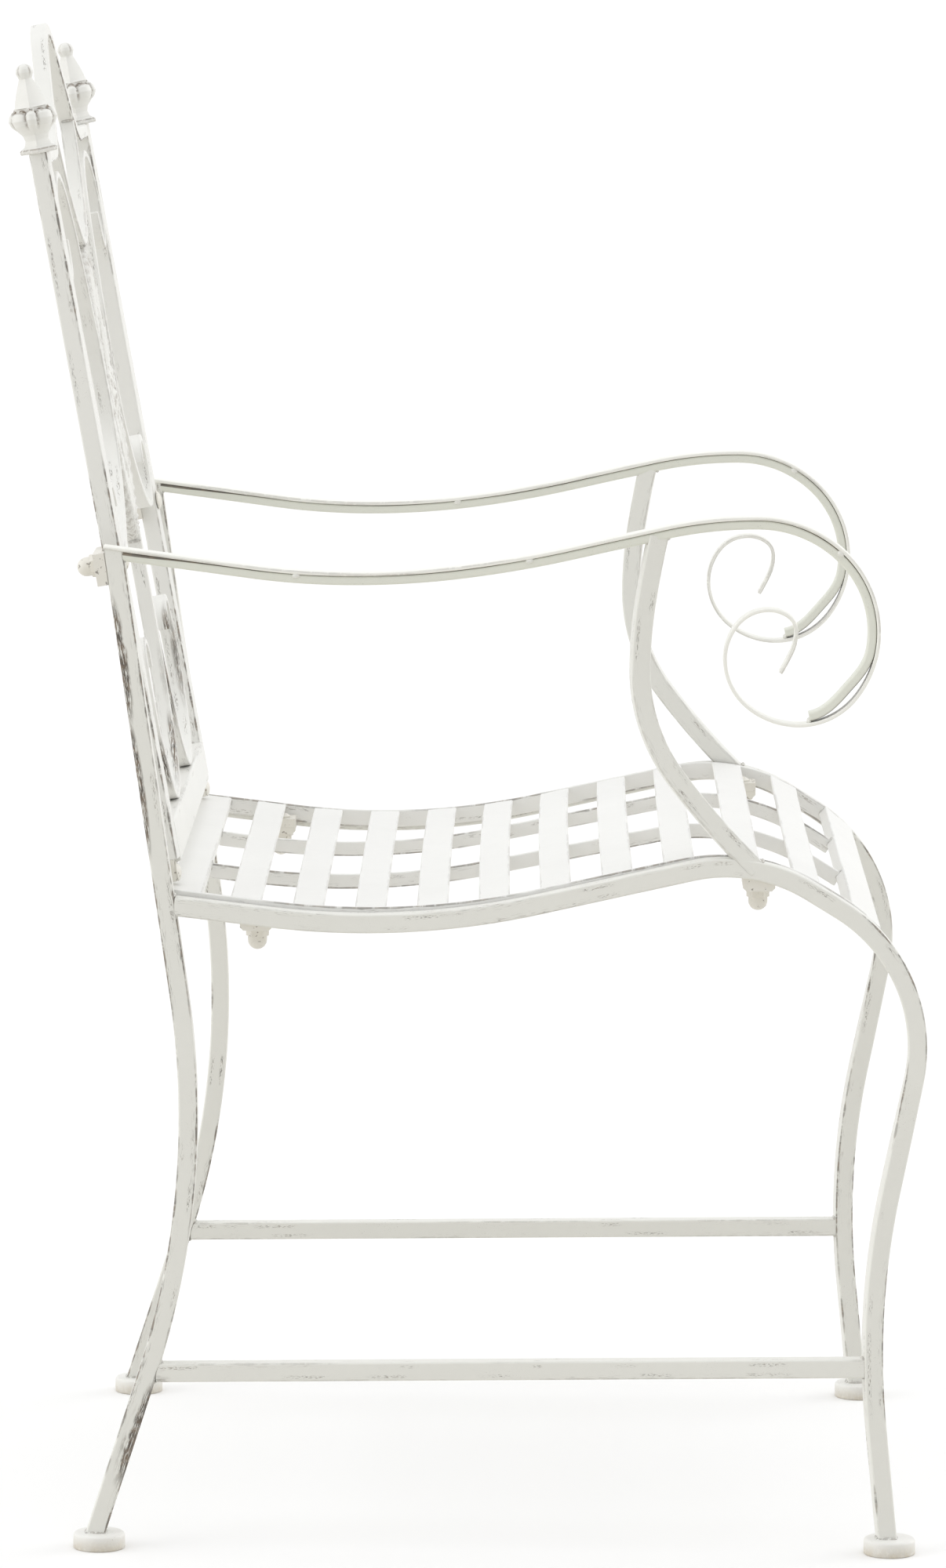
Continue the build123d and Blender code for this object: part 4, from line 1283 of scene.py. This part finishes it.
class ARMCHAIR_OT_seat(bpy.types.Operator):
    """Build the seat panel: bars on edge along it, slats and two cross bars over them"""

    bl_idname = "armchair.seat"
    bl_label = "Seat"

    def execute(self, context):
        corner = context.scene.armchair_sizes.strip_corner
        side_line = stretch(seat, SEAT_START, front_bar_place)
        rear_end = at_length(seat, rear_bar_place + REAR_BAR_WIDTH / 2 - RUN_IN)[0].x
        front_end = at_length(seat, front_bar_place - FRONT_BAR_WIDTH / 2 + RUN_IN)[0].x
        long_line = [knot for knot in long_bar if front_end < knot[0].x < rear_end]
        long_line = [meet(long_bar, 0, rear_end)] + long_line + [meet(long_bar, 0, front_end)]
        bars = {
            "seat_side_bar": (side_line, side_bar_x, (SIDE_BAR_THICK, SIDE_BAR_HIGH)),
            "seat_long_bar": (long_line, long_bar_x, (LONG_BAR_THICK, LONG_BAR_HIGH)),
        }
        for side, hand in SIDES:
            for name, (knots, x, size) in bars.items():
                node = f"{side}_{name}"
                seed = SEEDS[name] + hand * HAND_SEED
                swept(node + "_edge", knots, on_frame(hand * x), size, corner, ACROSS, "seat_paint", [node], seed)
        slats = [f"seat_slat_{i + 1}" for i in range(SLAT_COUNT)]
        arch = 1 / (1 - (long_bar_x / slat_half) ** 2)
        self.row("seat_slats", (SLAT_WIDTH, SLAT_THICK), SEAT_START + FIRST_SLAT, slat_half, slats, arch)
        rear, front = (REAR_BAR_WIDTH, CROSS_BAR_THICK), (FRONT_BAR_WIDTH, CROSS_BAR_THICK)
        self.row("seat_rear_cross_bar", rear, rear_bar_place, slat_half, ["seat_rear_bar"])
        self.row("seat_front_cross_bar", front, front_bar_place, rail_inner - SEAT_CLEAR, ["seat_front_bar"])
        return {"FINISHED"}

    def row(self, name, size, first, half, nodes, arch=0.0):
        """Slats, or one cross bar, from a first place along the seat: one for each CAD node."""
        sizes = bpy.context.scene.armchair_sizes
        width, thick = size
        inner = path_curve(name + "_inner_path", [(long_bar, on_frame(0))])
        values = {
            "Across": width * MM,
            "Thick": thick * MM,
            "Corner": min(sizes.strip_corner, thick * MM * MOST_CORNER),
            "Step": SLAT_STEP * MM,
            "Half length": half * MM,
            "Count": len(nodes),
            "First": first * MM,
            "Pitch": SLAT_PITCH * MM,
            "Lift": (slat_top - thick / 2) * MM,
            "Inner line": inner,
            "Inner lift": (LONG_BAR_HIGH / 2 - slat_low - SLAT_BITE) * MM,
            "Arch": arch,
            "Seed": SEEDS["seat_row"] + first,
            "Material": paint("seat_paint", "flat"),
        }
        piece = grown(name, [(seat, on_frame(0))], "Slat row", values)
        bpy.data.objects.remove(inner)
        soften(piece, sizes.end_round)
        settle(piece, nodes)


class ARMCHAIR_OT_back(bpy.types.Operator):
    """Build the bars of the back panel: posts, rails, scrolls, necks and loops"""

    bl_idname = "armchair.back"
    bl_label = "Back panel"

    def execute(self, context):
        sizes = context.scene.armchair_sizes
        corner, thin = sizes.corner, sizes.strip_corner
        scroll = (SCROLL_DEEP, SCROLL_THICK)
        post = bent([(post_half, POST_BOTTOM), (post_half, POST_TOP)], [])
        post_turn = sizes.twist * POST_TURN
        for side, hand in SIDES:
            place = on_panel(hand)
            self.bar("back_post", post, place, (POST, POST), corner, "bar", side, hand, twist=post_turn)
            self.bar("back_scroll", back_scroll, place, scroll, thin, "calm", side, hand)
            self.bar("lower_loop", loop, place, scroll, thin, "calm", side, hand)
        mirrored = [(Vector((-p.x, p.y)), Vector((d.x, -d.y))) for p, d in reversed(neck[:-1])]
        self.bar("back_neck", neck + mirrored, on_panel(), scroll, thin, "calm")
        self.bar("crest_rail", crest_rail, on_panel(), (CREST_RAIL_DEEP, CREST_RAIL_THICK), corner, "bar")
        rail_mid = (BOTTOM_RAIL_LOW + BOTTOM_RAIL_TOP) / 2
        bottom = bent([(-post_inner - RUN_IN, rail_mid), (post_inner + RUN_IN, rail_mid)], [])
        place = on_panel(fore=(BOTTOM_RAIL_FORE - BOTTOM_RAIL_AFT) / 2)
        size = (BOTTOM_RAIL_FORE + BOTTOM_RAIL_AFT, BOTTOM_RAIL_TOP - BOTTOM_RAIL_LOW)
        self.bar("back_bottom_rail", bottom, place, size, corner, "calm")
        return {"FINISHED"}

    def bar(self, name, knots, place, size, corner, finish, side=None, hand=0, **turn):
        seed = SEEDS[name] + hand
        node = f"{side}_{name}" if side else name
        nodes = NECK_NODES if name == "back_neck" else [node]
        swept(node + "_bar", knots, place, size, corner, panel_normal, "back_paint", nodes, seed, finish, **turn)


class ARMCHAIR_OT_feet(bpy.types.Operator):
    """Turn the four disc feet, with rounded rims"""

    bl_idname = "armchair.feet"
    bl_label = "Feet"

    segments: count_property("Segments", "Faces round a foot", 72, 12)

    def execute(self, context):
        outline = [(FOOT_SOLE_RADIUS, 0.0)]
        outline += self.quarter(FOOT_LOW_ROUND, FOOT_LOW_ROUND, -90)
        outline += self.quarter(FOOT_TOP_ROUND, FOOT_HIGH - FOOT_TOP_ROUND, 0)
        outline += [(BAR / 2, FOOT_HIGH)]
        turns = [2 * pi * i / self.segments for i in range(self.segments)]
        # The mark lies on a band along the bottom rim of each foot
        shade = [FOOT_LOW_RIM_MARK if z < FOOT_LOW_RIM_HIGH else 0.0 for radius, z in outline for turn in turns]
        for side, hand in SIDES:
            for end, y in FOOT_PLACES.items():
                centre = Vector((hand * FRAME_HALF, y, 0))
                rings = [
                    [(centre + Vector((radius * cos(turn), radius * sin(turn), z))) * MM for turn in turns]
                    for radius, z in outline
                ]
                node = f"{side}_{end}_foot"
                ring_piece(node + "_disc", rings, shade, "foot_paint", node, "foot")
        return {"FINISHED"}

    def quarter(self, radius, z, start):
        """Quarter of a round on the rim, about a height, as (radius, height) points."""
        turns = [radians(start + 90 * i / FOOT_STEPS) for i in range(FOOT_STEPS + 1)]
        return [(FOOT_RADIUS - radius + radius * cos(turn), z + radius * sin(turn)) for turn in turns]


class ARMCHAIR_OT_finials(bpy.types.Operator):
    """Cast the finials: a square cone and foot set cornerwise, with lobes, leaves and a bud"""

    bl_idname = "armchair.finials"
    bl_label = "Finials"

    segments: count_property("Segments", "Points round a finial", 128, 32)
    rings: count_property("Rings", "Rings up a finial", 150, 30)

    def execute(self, context):
        for side, hand in SIDES:
            rings, shade = [], []
            for i in range(self.rings):
                high = FINIAL_LINE[-1][0] * (1 - cos(pi * i / (self.rings - 1))) / 2
                radius, square = self.outline(high)
                rings.append([])
                for j in range(self.segments):
                    turn = 2 * pi * j / self.segments
                    reach, mark = self.reach(high, radius, square, turn)
                    spot = Vector((hand * post_half + reach * cos(turn), POST_TOP + high))
                    rings[-1].append(on_panel(1, reach * sin(turn))(spot))
                    shade.append(mark)
            ring_piece(f"{side}_finial_cast", rings, shade, "back_paint", f"{side}_finial")
        return {"FINISHED"}

    def outline(self, high):
        """Radius and squareness at a height, on straight runs between the outline's points."""
        for low, top in zip(FINIAL_LINE, FINIAL_LINE[1:]):
            if high <= top[0]:
                share = (high - low[0]) / (top[0] - low[0])
                return [a + (b - a) * share for a, b in zip(low[1:], top[1:])]
        return FINIAL_LINE[-1][1:]

    def reach(self, high, radius, square, turn):
        """Radius in one direction, and how deep in a hollow that place lies."""
        flat = 1 / (abs(cos(turn)) ** FINIAL_SQUARE + abs(sin(turn)) ** FINIAL_SQUARE) ** (1 / FINIAL_SQUARE)
        plain = radius * (1 + (flat - 1) * square)
        low, top = FINIAL_BULGE
        mark = 0.0
        if low < high < top:
            share = (high - low) / (top - low)
            away = abs((turn + pi / 4) % (pi / 2) - pi / 4)
            if away < FINIAL_LEAF:
                across, tall, full = away / FINIAL_LEAF, FINIAL_LEAF_TALL, 1.0
            else:
                across, tall, full = (pi / 4 - away) / (pi / 4 - FINIAL_LEAF), FINIAL_LOBE_TALL, FINIAL_LOBE_FULL
            arch = (1 - across * across) ** 0.5
            rim = FINIAL_RIM + tall * arch
            core = min(radius, FINIAL_CORE) * flat
            groove = radius * FINIAL_GROOVE
            leaf = groove + (radius * full - groove) * arch
            over = min(1.0, max(0.0, (share - rim) / 0.07))
            plain += (leaf + (core - leaf) * over - plain) * min(1.0, share / 0.25)
            crevice = max(0.0, 1 - arch / 0.7) * sin(pi * share)
            mark = min(1.0, 1.3 * max(crevice, max(0.0, 1 - abs(share - rim - 0.06) / 0.09)))
        elif high > FINIAL_BALL and radius > 0.5:
            share = (high - FINIAL_BALL) / (FINIAL_LINE[-1][0] - FINIAL_BALL)
            lobe = abs(cos(turn * 2))
            plain *= 1 - FINIAL_BUD_GROOVE * (1 - lobe ** 0.6) * sin(pi * min(1.0, share))
            mark = max(0.0, 1 - lobe / 0.5) * sin(pi * share) * 0.6
        elif high < FINIAL_FOOT[1]:
            mark = 0.6 if FINIAL_FOOT[0] < high else 0.2
        return max(plain, 0.0), mark


class ARMCHAIR_OT_medallion(bpy.types.Operator):
    """Cast the oval medallion: a corded rim, two rings of leaves and a boss, on both faces"""

    bl_idname = "armchair.medallion"
    bl_label = "Medallion"

    segments: count_property("Segments", "Points round the oval", 336, 48)
    rings: count_property("Rings", "Rings from the middle to the rim", 64, 16)

    def execute(self, context):
        leaves = context.scene.armchair_sizes.leaves
        middle = (MEDALLION_BOTTOM + medallion_top) / 2
        half_high = (medallion_top - MEDALLION_BOTTOM) / 2
        rings, shade = [], []
        shares = [i / self.rings for i in range(self.rings + 1)]
        for face, order in ((1, shares), (-1, shares[::-1])):
            for share in order:
                rings.append([])
                for j in range(self.segments):
                    turn = 2 * pi * j / self.segments
                    lift, mark = self.relief(share, turn, leaves)
                    spot = Vector((MEDALLION_HALF_WIDE * share * sin(turn), middle + half_high * share * cos(turn)))
                    rings[-1].append(on_panel(1, face * lift)(spot))
                    shade.append(mark)
        ring_piece("back_medallion_cast", rings, shade, "back_paint", "back_medallion")
        return {"FINISHED"}

    def relief(self, share, turn, leaves):
        """Height over the middle plane, and how deep in a hollow that place lies."""
        if share >= MEDALLION_RIM:
            place = 2 * (share - MEDALLION_RIM) / (1 - MEDALLION_RIM) - 1
            cord = 1 - CORD_DEEP + CORD_DEEP * cos(turn * leaves * CORD_TURNS + CORD_SLANT * place)
            foot = RIM_FOOT if place < 0 else 0.0
            lift = foot + (RIM_HIGH - foot) * sqrt(max(0.0, 1 - place * place)) * cord
            return lift, 0.25 * (1 - cord) / CORD_DEEP
        lift, mark = MEDALLION_PLATE, MEDALLION_GROUND
        for low, top, offset, tall in MEDALLION_LEAVES:
            if not low < share < top:
                continue
            along = (share - low) / (top - low)
            across = ((turn * leaves / (2 * pi) + offset) % 1.0) - 0.5
            width = 0.5 * sin(pi * (0.18 + 0.82 * along) ** 0.8) ** 0.7 + 0.02
            body = max(0.0, 1 - (across / width) ** 2)
            ribs = 0.5 + 0.5 * cos(LEAF_RIBS * (along - abs(across) * 1.4))
            vein = exp(-((across / LEAF_VEIN) ** 2))
            rise = 0.55 + 0.45 * along if along < 0.8 else 1.0 - 1.6 * (along - 0.8)
            leaf = tall * body ** 0.5 * rise * (0.86 + 0.14 * ribs) - LEAF_VEIN_DEEP * vein * body
            if leaf + MEDALLION_PLATE > lift:
                lift, mark = MEDALLION_PLATE + leaf, 0.45 * vein + 0.35 * (1 - body) ** 2
        if share < MEDALLION_BOSS:
            place = share / MEDALLION_BOSS
            bud = 1 - BUD_DEEP + BUD_DEEP * cos(turn * BUD_LOBES)
            boss = MEDALLION_PLATE + BUD_HIGH * sqrt(max(0.0, 1 - place ** 2)) * (bud if place > 0.35 else 1.0)
            if boss > lift or place < 0.8:
                lift, mark = max(lift, boss), 0.25 * (1 - bud) / BUD_DEEP
        return lift, mark


class ARMCHAIR_OT_welds(bpy.types.Operator):
    """Lay weld beads in the corners where bars meet, and tack welds along the arms"""

    bl_idname = "armchair.welds"
    bl_label = "Welds"

    def execute(self, context):
        sizes = context.scene.armchair_sizes
        for side, hand in SIDES:
            self.lay(f"{side}_frame_welds", self.frame_beads(hand), sizes.weld, "frame_paint")
            self.lay(f"{side}_arm_tacks", self.tacks(hand), sizes.tack, "frame_paint", 0.0)
        self.lay("seat_welds", self.seat_beads(), sizes.weld * SEAT_WELD, "seat_paint")
        self.lay("back_welds", self.back_beads(), sizes.weld * BACK_WELD, "back_paint")
        return {"FINISHED"}

    def lay(self, name, chains, radius, slot, stain=BEAD_STAIN):
        values = {
            "Radius": radius,
            "Step": radius * BEAD_STEP,
            "Lumps": radius * BEAD_LUMP_HIGH,
            "Stain": stain,
            "Material": paint(slot, "bead"),
        }
        settle(grown(name, chains, "Weld bead", values), [])

    def bead(self, centre, way, half):
        """Straight bead about a point in millimetres."""
        centre, way = Vector(centre), Vector(way)
        return bent([(-half, 0), (half, 0)], []), lambda p: (centre + way * p[0]) * MM

    def frame_beads(self, hand):
        x = hand * FRAME_HALF
        half = BAR / 2
        ends = [
            (meet(leg_front_face, 1, STRETCHER_REAR_Z), stretcher[0][1]),
            (meet(leg_rear_face, 1, STRETCHER_FRONT_Z), stretcher[0][1]),
            (meet(leg_front_face, 1, RAIL_REAR_Z), rail[-1][1]),
            (meet(rail_top_face, 0, SUPPORT_FOOT_Y + half), support[-1][1]),
            (meet(arm_under_face, 0, SUPPORT_TOP_Y), support[0][1]),
        ]
        spots = [spot for (face, face_way), way in ends for spot in corners(face, way, face_way, half)]
        spots.append(meet(leg_front_face, 1, ARM_REAR_Z - STRIP_THICK / 2 - ARM_BAR_THICK - ARM_BEAD_DROP)[0])
        beads = [self.bead((x, p.x, p.y), ACROSS, half * FRAME_BEAD) for p in spots]
        for line in (rear_leg, front_leg):
            y = meet(line, 1, FOOT_HIGH)[0].x
            for reach in (half, -half):
                beads.append(self.bead((x, y + reach, FOOT_HIGH), ACROSS, half))
                beads.append(self.bead((x + reach, y, FOOT_HIGH), (0, 1, 0), half))
        return beads

    def tacks(self, hand):
        drop = STRIP_THICK / 2 + TACK_DROP
        seam = beside(arm, drop)
        beads = []
        for places, face in ((OUTER_TACKS, 1), (INNER_TACKS, -1)):
            x = hand * (FRAME_HALF + face * (BAR / 2 - TACK_SINK))
            for y in places:
                spot, way = meet(seam, 0, y)
                beads.append(self.bead((x, *spot), (0, *way), TACK_HALF))
        tip = beside(arm_bar, drop)[-1][0]
        beads.append(self.bead((hand * FRAME_HALF, *tip), ACROSS, BAR * TIP_BEAD))
        return beads

    def seat_beads(self):
        beads = []
        for place in (rear_bar_place + REAR_BAR_WIDTH / 2, front_bar_place - FRONT_BAR_WIDTH / 2):
            spot, way = at_length(seat, place)
            up = -left_of(way)
            spot = spot + up * (slat_top - CROSS_BAR_THICK / 2)
            for hand in (1, -1):
                long_x = hand * long_bar_x
                for x in (long_x + LONG_BAR_THICK / 2, long_x - LONG_BAR_THICK / 2, hand * slat_half):
                    beads.append(self.bead((x, *spot), (0, *up), CROSS_BAR_THICK * CROSS_BEAD))
        for i in range(SLAT_COUNT):
            spot, way = at_length(seat, SEAT_START + FIRST_SLAT + SLAT_PITCH * i)
            spot = spot - left_of(way) * (slat_low + SLAT_BEAD_LIFT)
            for x in (-slat_half, slat_half):
                beads.append(self.bead((x, *spot), (0, *way), SLAT_WIDTH * SLAT_BEAD))
        return beads

    def back_beads(self):
        crest_foot, crest_way = meet(crest_rail[4:], 0, NECK_FOOT)
        crest_face = crest_foot - left_of(crest_way) * (CREST_RAIL_THICK / 2)
        spots = corners(crest_face, neck[0][1], crest_way, half_thick)
        for hand in (1, -1):
            touch = hand * TOUCH_BEAD
            spots += [(LOOP_LOW + touch, BOTTOM_RAIL_TOP), (post_inner, UPPER_SIDE + touch)]
            spots += [(post_inner, LOWER_SIDE + touch), (post_inner, CREST_LEVEL + hand * CREST_RAIL_THICK / 2)]
            spots += [(MEDALLION_HALF_WIDE, SCROLL_WAIST + hand * WAIST_BEAD)]
        spots += [(post_inner, BOTTOM_RAIL_TOP), (post_inner, BOTTOM_RAIL_LOW)]
        spots += [(SCROLL_THICK, MEDALLION_BOTTOM), (NECK_BEAD, medallion_top - NECK_BEAD_DROP)]
        half = SCROLL_DEEP * BACK_BEAD
        return [self.bead(on_panel(hand)(spot) / MM, panel_normal, half) for hand in (1, -1) for spot in spots]


class ARMCHAIR_OT_fittings(bpy.types.Operator):
    """Build the tabs, lugs, bolts, washers and nuts: copies of the CAD shapes with softened edges"""

    bl_idname = "armchair.fittings"
    bl_label = "Fittings"

    soft: plain_property("Soft", "Rounding of the edges, in millimetres", 0.35)

    def execute(self, context):
        for name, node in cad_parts.items():
            if node.hide_render:
                continue
            mesh = node.data.copy()
            remade(mesh, self.join, FITTING_SHARP)
            mesh.materials.clear()
            mesh.materials.append(paint("fitting_paint", "fitting"))
            piece = link(name + "_painted", mesh)
            soften(piece, self.soft * MM)
            settle(piece, [name])
        return {"FINISHED"}

    def join(self, form):
        """Join the facets of a CAD shape and take out the edges inside its flats."""
        bmesh.ops.remove_doubles(form, verts=form.verts, dist=FITTING_MERGE * MM)
        bmesh.ops.dissolve_limit(form, angle_limit=radians(1), verts=form.verts, edges=form.edges)


class ARMCHAIR_OT_stage(bpy.types.Operator):
    """Set the camera at the photograph's place, with a pale floor and soft light"""

    bl_idname = "armchair.stage"
    bl_label = "Stage"

    def execute(self, context):
        stage = context.scene.armchair_stage
        context.scene.view_settings.view_transform = "Standard"
        self.camera(context.scene)
        self.floor(stage)
        self.light("top_light", stage.top, 0, 0, TOP_SPREAD)
        self.light("front_light", stage.front, SIDE_TILT, stage.front_turn, SIDE_SPREAD)
        self.light("rear_light", stage.rear, -SIDE_TILT, stage.rear_turn, SIDE_SPREAD)
        self.sky(context.scene, stage)
        return {"FINISHED"}

    def camera(self, scene):
        yaw, pitch, roll = radians(CAMERA_YAW), radians(CAMERA_PITCH), radians(CAMERA_ROLL)
        ahead = Vector((cos(pitch) * cos(yaw), -cos(pitch) * sin(yaw), -sin(pitch)))
        level = Vector((-sin(yaw), -cos(yaw), 0))
        below = ahead.cross(level)
        right = level * cos(roll) + below * sin(roll)
        down = below * cos(roll) - level * sin(roll)
        data = bpy.data.cameras.new("photo_camera")
        data.sensor_width = 36.0
        data.lens = data.sensor_width * CAMERA_FOCAL / PHOTO_HIGH
        data.clip_end = CAMERA_FAR
        camera = link("photo_camera", data)
        turn = Matrix((right, -down, -ahead)).transposed().to_4x4()
        camera.matrix_world = Matrix.Translation(CAMERA_PLACE) @ turn
        scene.camera = camera

    def light(self, name, level, tilt, turn, spread):
        """Broad sun tilted from straight down and turned about the upright, in degrees."""
        data = bpy.data.lights.new(name, "SUN")
        data.energy = level
        data.angle = radians(spread)
        link(name, data).rotation_euler = (radians(tilt), 0.0, radians(turn))

    def seen(self, net):
        """One where the ground is looked at, straight or in a reflection, and zero where it only lights."""
        ray = net.add("ShaderNodeLightPath")
        return net.most(ray["Is Camera Ray"], ray["Is Glossy Ray"], ray["Is Transmission Ray"])

    def floor(self, stage):
        mesh = bpy.data.meshes.new("floor")
        rim = [(x * FLOOR_HALF, y * FLOOR_HALF, 0) for x, y in ((-1, -1), (1, -1), (1, 1), (-1, 1))]
        mesh.from_pydata(rim, [], [(0, 1, 2, 3)])
        material = bpy.data.materials.new("studio_floor")
        material.use_nodes = True
        net = Net(material.node_tree)
        shown = net.mix(self.seen(net), stage.bounce, stage.floor)
        matt = {"Base Color": shown, "Roughness": 1.0, "Specular IOR Level": 0.0}
        net.feed(net.tree.nodes["Principled BSDF"], matt)
        mesh.materials.append(material)
        link("floor", mesh)

    def sky(self, scene, stage):
        world = bpy.data.worlds.new("studio_sky")
        scene.world = world
        world.use_nodes = True
        net = Net(world.node_tree)
        level = net.ramp(self.seen(net), 0.0, 1.0, stage.sky, 1.0)
        net.feed(net.tree.nodes["Background"], {"Color": (1.0, 1.0, 1.0, 1.0), "Strength": level})


class ARMCHAIR_PT_build(bpy.types.Panel):
    """Buttons for the pieces of the chair and its stage"""

    bl_idname = "ARMCHAIR_PT_build"
    bl_label = "Garden armchair"
    bl_space_type = "VIEW_3D"
    bl_region_type = "UI"
    bl_category = "Armchair"

    def draw(self, context):
        for step in STEPS:
            self.layout.operator(step.bl_idname)


STEPS = (
    ARMCHAIR_OT_side_frames,
    ARMCHAIR_OT_arms,
    ARMCHAIR_OT_seat,
    ARMCHAIR_OT_back,
    ARMCHAIR_OT_feet,
    ARMCHAIR_OT_finials,
    ARMCHAIR_OT_medallion,
    ARMCHAIR_OT_welds,
    ARMCHAIR_OT_fittings,
    ARMCHAIR_OT_stage,
)
GROUPS = {
    "armchair_sizes": ArmchairSizes,
    "armchair_paint": ArmchairPaint,
    "armchair_stage": ArmchairStage,
}


def register():
    for kind in (*GROUPS.values(), *STEPS, ARMCHAIR_PT_build):
        bpy.utils.register_class(kind)
    for name, kind in GROUPS.items():
        setattr(bpy.types.Scene, name, PointerProperty(type=kind))


def unregister():
    for name in GROUPS:
        delattr(bpy.types.Scene, name)
    for kind in (ARMCHAIR_PT_build, *reversed(STEPS), *GROUPS.values()):
        bpy.utils.unregister_class(kind)


def main():
    register()
    for step in STEPS:
        group, name = step.bl_idname.split(".")
        getattr(getattr(bpy.ops, group), name)()


if __name__ == "__main__":
    main()
